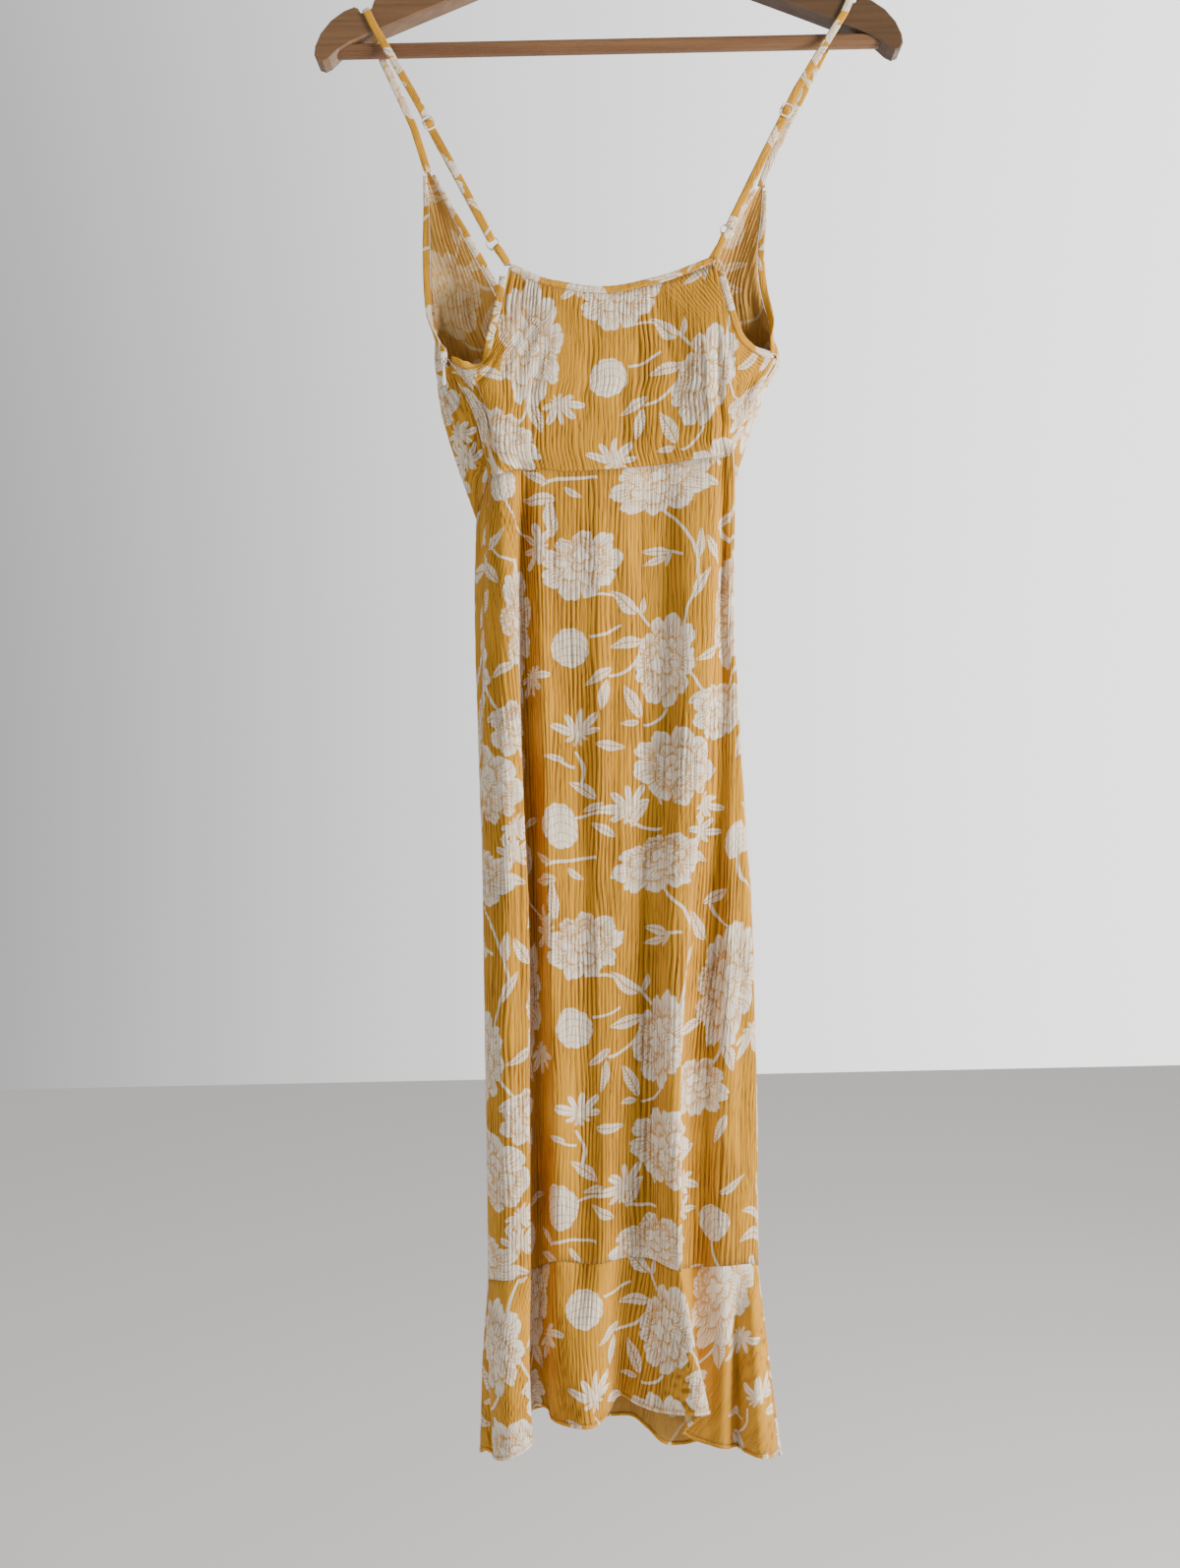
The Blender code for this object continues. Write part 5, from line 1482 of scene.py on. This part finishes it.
BACK_BODICE_CREASES = creases(
    (1.6, 75, 140, 2.4, 2.4), (14.7, 62, 145, 2.8, 3.4, 0.01), (13.9, 62, 145, 2.6, -1.6, 0.01),
    (4.6, 30, 140, 5.4, 2.2), (9.8, 60, 140, 6.0, 2.2, 0.02), (12.0, 10, 90, 5.4, 2.0, -0.02),
    (3.4, 18, 110, 4.5, 1.7), (6.3, 40, 122, 4.8, 1.5, 0.03), (8.6, 5, 100, 5.4, 1.3),
    (10.6, 30, 125, 4.5, 1.4, -0.03), (12.6, 10, 90, 5.1, 1.4), (15.6, 40, 120, 2.8, 1.2, -0.05),
)
LEFT_FRONT_CREASES = creases(
    (26.4, 60, 190, 3.2, 1.2, 0.02), (25.2, 120, 235, 3.6, 1.4, -0.06), (24.0, 90, 240, 4.0, 1.3, 0.05),
    (22.8, 130, 250, 3.4, -1.0, 0.04),
)
RIGHT_FRONT_CREASES = creases(
    (17.8, 50, 170, 3.0, 1.2, -0.02), (19.2, 100, 210, 3.6, 1.4, 0.06), (20.6, 90, 215, 4.0, 1.2, -0.05),
    (22.0, 120, 215, 3.4, -1.0, -0.04),
)


# The flounce's crinkle at fold numbers: its lean, and its strength
FLOUNCE_LEAN = (
    (0, 4, 8, 12, 15, 17, 19, 22, 25, 27), (-0.75, -0.45, 0.0, 0.05, 0.3, 0.7, 0.45, 0.0, -0.4, -0.75),
)
FLOUNCE_STRENGTH = (
    (0, 4, 12.8, 13.6, 14.6, 16, 17, 18.5, 20, 25, 27),
    (1.1, 0.9, 1.0, 0.8, 0.22, 0.3, 0.7, 0.35, 0.7, 0.7, 1.0),
)


def flounce_lean(places: np.ndarray) -> np.ndarray:
    """The flounce is cut round, so its crinkle leans off the panel's length away from the centre back."""
    return np.interp(places, *FLOUNCE_LEAN)


def flounce_strength(places: np.ndarray) -> np.ndarray:
    """The flounce's crinkle is nearly pressed out at its sides."""
    return np.interp(places, *FLOUNCE_STRENGTH)


@dataclass
class Dress:
    """The whole dress."""

    finishes: Finishes
    layout: Layout = field(default_factory=Layout)
    repeats: Repeats = field(default_factory=Repeats)
    binding_wall: float = 2.3
    hem_radius: float = 1.25
    seam_lines: list[Path] = field(default_factory=list)

    def build(self) -> None:
        """Build and dress every piece of the dress."""
        straps = self.build_straps()
        panels = self.build_panels()
        self.build_zip(panels)
        self.build_pull()
        stitches = self.repeats.along("seam_stitches", self.seam_lines, 2.5, 0.85, 0.2, self.finishes.thread)
        placed(stitches, self.finishes.thread, Slot.CLOTH)

    def build_panels(self) -> dict[str, Panel]:
        """Make the seven panels, their bindings and the rolled hem.


        Returns:
            The panels by name.
        """
        lay = self.layout
        back_at, front_at = lay.columns(0, RIGHT_SEAM), lay.columns(RIGHT_SEAM, LEFT_SEAM)
        right_at, left_at = lay.columns(RIGHT_SEAM, RIGHT_FRONT_EDGE), lay.columns(LEFT_FRONT_EDGE, LEFT_SEAM)
        back, left, right = lay.bodice(back_at, left_at, right_at)
        hangs = {"lean": flounce_lean, "strength": flounce_strength}
        # name, surface, columns, fold where the print is anchored, its offset, seed of the crinkle, more
        cuts = (
            ("bodice_back", back, back_at, 9.3, (-4, 5), 23, {"creases": BACK_BODICE_CREASES}),
            ("bodice_front_left", left, left_at, 24.0, (60, 20), 37, {"creases": LEFT_FRONT_CREASES}),
            ("bodice_front_right", right, right_at, 20.0, (-30, 130), 41, {"creases": RIGHT_FRONT_CREASES}),
            ("skirt_back", lay.skirt(back_at), back_at, 9.0, (20, 72), 11, {"creases": SKIRT_BACK_CREASES}),
            ("skirt_front", lay.skirt(front_at), front_at, 22.0, (-14, 60), 57,
             {"creases": SKIRT_FRONT_CREASES}),
            ("flounce_back", lay.flounce(back_at), back_at, 9.0, (8, -28), 61, hangs),
            ("flounce_front", lay.flounce(front_at), front_at, 22.0, (-80, 140), 67, hangs),
        )
        panels = {
            name: Panel(name, grid, lay.places(at), anchor, offset, crinkle=Crinkle(seed=seed), **more)
            for name, grid, at, anchor, offset, seed, more in cuts
        }
        trims = self.build_bindings(back, left, right) | self.build_hems(panels)
        for name, panel in panels.items():
            obj = panel.build()
            obj.name = "cloth_" + name
            placed(obj, self.finishes.cloth, Slot.CLOTH, name)
            flat, area = panel.cut()
            LOG.info("%s is cut %.0f by %.0f mm", name, flat[0] / MM, flat[1] / MM)
        return panels

    def build_bindings(self, back: Grid, left: Grid, right: Grid) -> dict[str, list[bpy.types.Object]]:
        """Bind the neckline and the armholes, and run a stitch line beside each binding.

        Args:
            back: The back bodice's surface.
            left: The left front's.
            right: The right front's.

        Returns:
            The bindings by the name of their panel.
        """
        made: dict[str, list[bpy.types.Object]] = {"bodice_back": []}
        low_back = self.underarm_row(back, BACK_BODICE, 0)
        # name, panel, edge, the points just inside it, whether it narrows to a tip
        jobs = [("neck_binding_back", "bodice_back", back[0], back[1], False)]
        sides = (("left", left, LEFT_FRONT, -1, 0, 1), ("right", right, RIGHT_FRONT, 0, -1, -1))
        for side, front, table, front_edge, back_edge, step in sides:
            neck, panel = -1 - front_edge, "bodice_front_" + side
            made[panel] = []
            hole = front[: self.underarm_row(front, table, front_edge) + 1]
            back_hole = back[: low_back + 1]
            jobs += [
                ("armhole_binding_front_" + side, panel, hole[:, front_edge],
                 hole[:, front_edge - step], True),
                ("armhole_binding_back_" + side, "bodice_back", back_hole[:, back_edge],
                 back_hole[:, back_edge + step], False),
                ("neck_binding_front_" + side, panel, front[:, neck], front[:, neck + step], True),
            ]
        for number, (name, panel, edge, inner, narrow) in enumerate(jobs):
            outward = outward_of(edge, inner)
            width = np.full(len(edge), BINDING_WIDTH)
            if narrow:
                width = np.interp(travelled(edge), TIP_LENGTHS, TIP_WIDTHS)
            middle = edge + outward * (BINDING_GAP + width[:, None] / 2)
            keep = slice(0 if name == "neck_binding_back" else 1, len(edge) - 1)
            obj = flat_tube("cloth_" + name, middle[keep], outward[keep], width[keep], self.binding_wall,
                            wobble=0.42, print_offset=(37.0 * number, 61.0 * number))
            made[panel].append(placed(obj, self.finishes.cloth, Slot.CLOTH, name))
            line = middle - outward * (width[:, None] / 2 - BINDING_STITCH)
            self.stitch(line, edge, outward, self.binding_wall / 2 + 0.05, keep)
        return made

    def stitch(self, line: Path, edge: Path, outward: np.ndarray, lift: float, keep: slice) -> None:
        """Run a stitch line along both faces of a binding or hem.

        Args:
            line: The line that it follows.
            edge: The panel's edge beside it.
            outward: The way out of the panel.
            lift: How far it lies off the line.
            keep: The points to use.
        """
        normal = unit(np.cross(outward, unit(np.gradient(edge, axis=0))))
        self.seam_lines += [(line + normal * face * lift)[keep] for face in (-1, 1)]

    @staticmethod
    def underarm_row(grid: Grid, table: Sequence[tuple], column: int) -> int:
        """Find the fine row that lies at the underarm, on the seam that a table's rows start from."""
        underarm_z = table[UNDERARM][1][3]
        return int(np.argmin(np.abs(grid[:, column, 2] - underarm_z)))

    def build_hems(self, panels: dict[str, Panel]) -> dict[str, list[bpy.types.Object]]:
        """Roll the flounce's lower edge, and run a stitch line above it."""
        made = {}
        short, thick = np.s_[2:-2:2], 2 * self.hem_radius
        for name in ("flounce_back", "flounce_front"):
            panel = panels[name]
            grid = panel.drawn_in()
            edge, down = grid[-1], outward_of(grid[-1], grid[-2])
            across, along = panel.flat_coordinates()
            places = np.stack([across[-1], -along[-1]], axis=1) + np.array(panel.print_offset)
            path = edge + down * self.hem_radius * 0.6
            obj = flat_tube("rolled_hem_" + name[8:], path[short], down[short], thick + 0.5, thick, 10,
                            wobble=0.18, print_offset=places[short])
            made[name] = [placed(obj, self.finishes.cloth, Slot.CLOTH)]
            self.stitch(edge - down * 0.5, edge, down, self.hem_radius + 0.25, slice(3, -3))
        return made

    def strap_path(
        self, side: Side, rise: Path, slider: np.ndarray, ring: np.ndarray
    ) -> tuple[Path, np.ndarray]:
        """Lead a strap up from the front's tip, over the notch, through the slider, round the ring and back.

        Args:
            side: The strap's side.
            rise: Points from the front's tip up to the hanger.
            slider: The slider's middle.
            ring: The ring's middle.

        Returns:
            The path, and the way down the back strand.
        """
        sign = 1 if side is Side.RIGHT else -1
        notch = np.array((-NOTCH_MIDDLE[0] * sign, 0.0, NOTCH_MIDDLE[1]))
        normal = np.array((ARM_SLOPE[1] * sign, 0.0, ARM_SLOPE[0]))
        reach = ARM_THICKNESS / 2 + 0.4 + STRAP_WALL / 2
        front = [(reach - inset, height) for inset, height in OVER_THE_ARM]
        turn = [*front, (0.0, 1.6), *((-y, height) for y, height in reversed(front))]
        over = [notch + normal * height + DEPTH * y for y, height in turn]
        down = unit((ring - slider) * (1, 0, 1))
        half = SLIDER_SIZE[1] / 2
        weave = [
            slider + down * share * half + DEPTH * off * STRAP_STAND_OFF for share, off in THROUGH_THE_SLIDER
        ]
        top = ring - down * RING_RADIUS
        loop = [top + down * far + DEPTH * off for far, off in ROUND_THE_RING]
        tail = [slider + down * share * half + DEPTH * off for share, off in BACK_AT_THE_SLIDER]
        return np.array([*rise, *over, *weave, *loop, *tail], float), down

    def build_straps(self) -> list[bpy.types.Object]:
        """Make the straps, their sliders and rings, and the loops that hold the rings."""
        straps = []
        for side, (_, rise, slider, ring, corner) in zip((Side.LEFT, Side.RIGHT), STRAPS):
            slider, ring, corner = (np.array(place, float) for place in (slider, ring, corner))
            path, down = self.strap_path(side, rise, slider, ring)
            across = np.array((-down[2], 0.0, down[0]))
            strap = flat_tube("cloth_strap_" + side.value, self.eased(path, 1.6), across, STRAP_WIDTH,
                              STRAP_WALL, wobble=0.16,
                              print_offset=(30.0 if side is Side.LEFT else 110.0, 0.0))
            straps.append(placed(strap, self.finishes.cloth, Slot.CLOTH, "strap_" + side.value))
            self.build_slider(side, slider, across, down)
            self.build_ring(side, ring)
            self.build_tab(side, ring, corner)
        return straps

    def build_ring(self, side: Side, ring: np.ndarray) -> None:
        """Make the round ring that joins a strap to its loop on the back."""
        turns = np.arange(RING_STEPS) * TAU / RING_STEPS
        circle = [ring + (RING_RADIUS * math.cos(a), 0.0, RING_RADIUS * math.sin(a)) for a in turns]
        hoop = round_wire("enamel_ring_" + side.value, np.array(circle), RING_WIRE, True)
        placed(hoop, self.finishes.enamel, Slot.ENAMEL, "ring_" + side.value)

    def build_tab(self, side: Side, ring: np.ndarray, corner: np.ndarray) -> None:
        """Make the short cloth loop that goes from the back's corner through a ring and back."""
        fall = unit((corner + (0, 0, 3) - ring) * (1, 0, 1))
        under = ring + fall * RING_RADIUS
        near = [corner - DEPTH * 1.5, corner - DEPTH * 1.6 + (0, 0, 1.5)]
        near += [under + fall * far - DEPTH * off for far, off in UP_TO_THE_RING]
        behind = [place + DEPTH * 2 * (ring[1] - place[1]) for place in reversed(near)]
        behind[-2:] = [corner + DEPTH * 1.6 + (0, 0, 1.5), corner + DEPTH * 1.5]
        tab = self.eased(np.array([*near, under - fall * 2.1, *behind]), 0.8)
        loop = flat_tube("cloth_strap_tab_" + side.value, tab, (-fall[2], 0, fall[0]), STRAP_WIDTH - 0.8,
                         STRAP_WALL, wobble=0.12, print_offset=(75.0, 40.0))
        placed(loop, self.finishes.cloth, Slot.CLOTH, "strap_tab_" + side.value)

    @staticmethod
    def eased(path: Path, step: float) -> Path:
        """Lay points evenly on a path, and round its corners a little."""
        far = travelled(path)
        at = np.linspace(0, far[-1], int(far[-1] / step) + 1)
        fine = np.stack([np.interp(at, far, path[:, k]) for k in range(3)], axis=1)
        for _ in range(2):
            fine[1:-1] = 0.25 * fine[:-2] + 0.5 * fine[1:-1] + 0.25 * fine[2:]
        return fine

    def build_slider(self, side: Side, slider: np.ndarray, across: np.ndarray, down: np.ndarray) -> None:
        """Make a strap's slider: a rounded frame with a bar across it."""
        wide, tall = SLIDER_SIZE[0] / 2, SLIDER_SIZE[1] / 2
        frame = []
        for a in np.arange(RING_STEPS) * TAU / RING_STEPS:
            x = math.copysign(abs(math.cos(a)) ** 0.6, math.cos(a)) * wide
            z = math.copysign(abs(math.sin(a)) ** 0.6, math.sin(a)) * tall
            frame.append(slider + across * x + down * z)
        body = round_wire("enamel_slider_" + side.value, np.array(frame), SLIDER_WIRE, True)
        ends = np.linspace(-1, 1, 9)[:, None]
        bar = round_wire("slider_bar_" + side.value, slider + across * wide * ends, SLIDER_WIRE * 0.75)
        placed(body, self.finishes.enamel, Slot.ENAMEL, "slider_" + side.value)
        placed(bar, self.finishes.enamel, Slot.ENAMEL)

    def build_zip(self, panels: dict[str, Panel]) -> None:
        """Lay the zip's tape behind the left side seam, with its coil of teeth."""
        low, high = np.array(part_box("zip_tape")) / MM
        seam = np.concatenate([panels["bodice_back"].grid[:-1, 0], panels["skirt_back"].grid[:, 0]])
        seam = resampled(seam[(seam[:, 2] > low[2] + 1) & (seam[:, 2] < high[2] - 1)], 3.0)
        tape_line, coil_line = seam + np.array(TAPE_SHIFT), seam + np.array(COIL_SHIFT)
        tape = flat_tube("woven_zip_tape", tape_line, (0.25, 1.0, 0.0), 4.6, 0.9, wobble=0.03)
        placed(tape, self.finishes.thread, Slot.COIL, "zip_tape")
        teeth = self.repeats.along("zip_coil_teeth", [coil_line], 1.15, 0.32, 0.62, self.finishes.enamel)
        placed(teeth, self.finishes.enamel, Slot.COIL)

    def build_pull(self) -> None:
        """Make the zip's pull tab: a wire eye on the slider's bridge, and a narrow blade below it."""
        pivot = np.array(PULL_PIVOT)
        turns, (wide, tall, below) = np.arange(28) * TAU / 28, PULL_EYE
        eye = [pivot + (wide * math.cos(a), 0.0, tall * math.sin(a) - below) for a in turns]
        hoop = round_wire("enamel_pull_eye", np.array(eye), 0.5, True)
        placed(hoop, self.finishes.enamel, Slot.ENAMEL, body="zip_pull")
        drop, width = np.array(PULL_BLADE)
        line = pivot - drop[:, None] * (0.0, 0.0, 1.0)
        blade = flat_tube("enamel_zip_pull", line, (1.0, 0.0, 0.0), width, 0.9)
        placed(blade, self.finishes.enamel, Slot.ENAMEL, "zip_pull", body="zip_pull")


@dataclass
class Hanger:
    """The wooden hanger, whose arms keep the CAD solid's shape."""

    finishes: Finishes
    ribs: int = 26
    rib_depth: float = 0.35

    def build(self, nodes: dict[str, bpy.types.Object]) -> None:
        """Make the ribbed bar and the wire hook, and dress the arms."""
        for slot in nodes["hanger_arms"].material_slots:
            slot.material = self.finishes.arm_wood
        self.build_bar()
        reach = HOOK_RADIUS + HOOK_WIRE
        angles = np.radians(np.arange(*HOOK_TURN))
        turn = [(reach * math.sin(a), 0, -HOOK_RADIUS - reach * math.cos(a)) for a in angles]
        path = np.array([(0, 0, HOOK_FOOT_Z), *HOOK_STEM, *turn], float)
        hook = round_wire("wire_hook", path, HOOK_WIRE, sides=16)
        placed(hook, self.finishes.steel, Slot.STEEL, "hanger_hook")

    def build_bar(self) -> None:
        """Make the bar with its fine lengthwise ribs."""
        angles = np.arange(self.ribs * 6) * TAU / (self.ribs * 6)
        radius = BAR_RADIUS - self.rib_depth * (0.5 - 0.5 * np.cos(angles * self.ribs)) ** 2
        section = np.stack([0 * angles, radius * np.cos(angles), BAR_Z + radius * np.sin(angles)], axis=1)
        rings = [section + (x, 0, 0) for x in np.linspace(-BAR_END_X, BAR_END_X, 5)]
        bar = ringed_shell("ribbed_bar", np.stack(rings))
        bar.data.set_sharp_from_angle(angle=math.radians(60))
        placed(bar, self.finishes.bar_wood, Slot.BAR_WOOD, "hanger_bar")


@dataclass
class Studio:
    """The camera, the lights and a pale floor."""

    distance: float = 0.870
    scale: float = 0.757e-3
    roll: float = -1.19
    picture_height: int = 1594
    sensor: float = 36.0
    floor_half: float = 3.0
    floor_height: float = -1.75

    def build(self) -> None:
        """Set up all of it."""
        self.place_camera()
        self.place_floor()
        self.place_light("window", (1.60, -0.76, -0.50), (0.0, 0.0, -0.70), 0.55, 74.0, (1.0, 0.965, 0.91))
        self.place_light("room", (-1.7, -1.25, -0.4), (0.0, 0.0, -0.7), 1.2, 16.0, (1.0, 0.97, 0.93))
        self.light_world()

    def light_world(self) -> None:
        """Fill the room with soft light, brighter towards the window's side and behind the dress."""
        world = bpy.data.worlds.new("pale_room")
        world.use_nodes = True
        weave = Weave(world.node_tree)
        node = weave.node("ShaderNodeSeparateXYZ")
        weave.feed(node.inputs[0], weave.node("ShaderNodeTexCoord").outputs["Generated"])
        side = weave.step(node.outputs[0], -0.75, 0.65)
        behind = weave.step(node.outputs[1], -0.1, 0.6)
        bright = weave.times(behind, weave.scaled(side, 2.2, 0.05))
        bright = weave.plus(bright, 0.27)
        background = world.node_tree.nodes["Background"]
        background.inputs["Color"].default_value = (1.0, 0.995, 0.99, 1)
        weave.feed(background.inputs["Strength"], bright)
        bpy.context.scene.world = world

    def place_camera(self) -> None:
        """Aim the camera at the back of the dress, as tall as the picture."""
        camera = bpy.data.cameras.new("camera")
        camera.sensor_fit = "VERTICAL"
        camera.sensor_height = self.sensor
        camera.lens = self.distance / self.scale / self.picture_height * self.sensor
        camera.clip_start = 0.01
        obj = bpy.data.objects.new("camera", camera)
        obj.location = (-0.026, -self.distance, -0.746)
        upright = Matrix.Rotation(math.radians(90), 4, "X")
        obj.rotation_euler = (upright @ Matrix.Rotation(math.radians(self.roll), 4, "Z")).to_euler()
        bpy.context.scene.collection.objects.link(obj)
        bpy.context.scene.camera = obj

    def place_light(self, name: str, place: Sequence[float], aim: Sequence[float], size: float, power: float,
                    colour: Sequence[float]) -> None:
        """Add a square soft light that faces a point."""
        light = bpy.data.lights.new(name, "AREA")
        light.size = size
        light.energy = power
        light.color = colour
        obj = bpy.data.objects.new(name, light)
        obj.rotation_euler = (Vector(place) - Vector(aim)).to_track_quat("Z", "Y").to_euler()
        obj.location = place
        bpy.context.scene.collection.objects.link(obj)

    def place_floor(self) -> None:
        """Lay a pale floor well below the hem."""
        mesh = bpy.data.meshes.new("floor")
        corners = ((-1, -1), (1, -1), (1, 1), (-1, 1))
        points = [(x * self.floor_half, y * self.floor_half, self.floor_height) for x, y in corners]
        mesh.from_pydata(points, [], [(0, 1, 2, 3)])
        floor = bpy.data.objects.new("floor", mesh)
        bpy.context.scene.collection.objects.link(floor)
        material, _, shader = new_finish("pale_floor")
        shader.inputs["Base Color"].default_value = (0.70, 0.69, 0.67, 1)
        shader.inputs["Roughness"].default_value = 0.8
        mesh.materials.append(material)


def main() -> None:
    """Load the frame, build the dress, the hanger and the studio."""
    logging.basicConfig(level=logging.INFO, format="%(name)s: %(message)s")
    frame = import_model()
    finishes = Finishes.mixed()
    Dress(finishes).build()
    Hanger(finishes).build(frame["nodes"])
    for slot in frame["nodes"]["zip_slider"].material_slots:
        slot.material = finishes.enamel
    Studio().build()


if __name__ == "__main__":
    main()
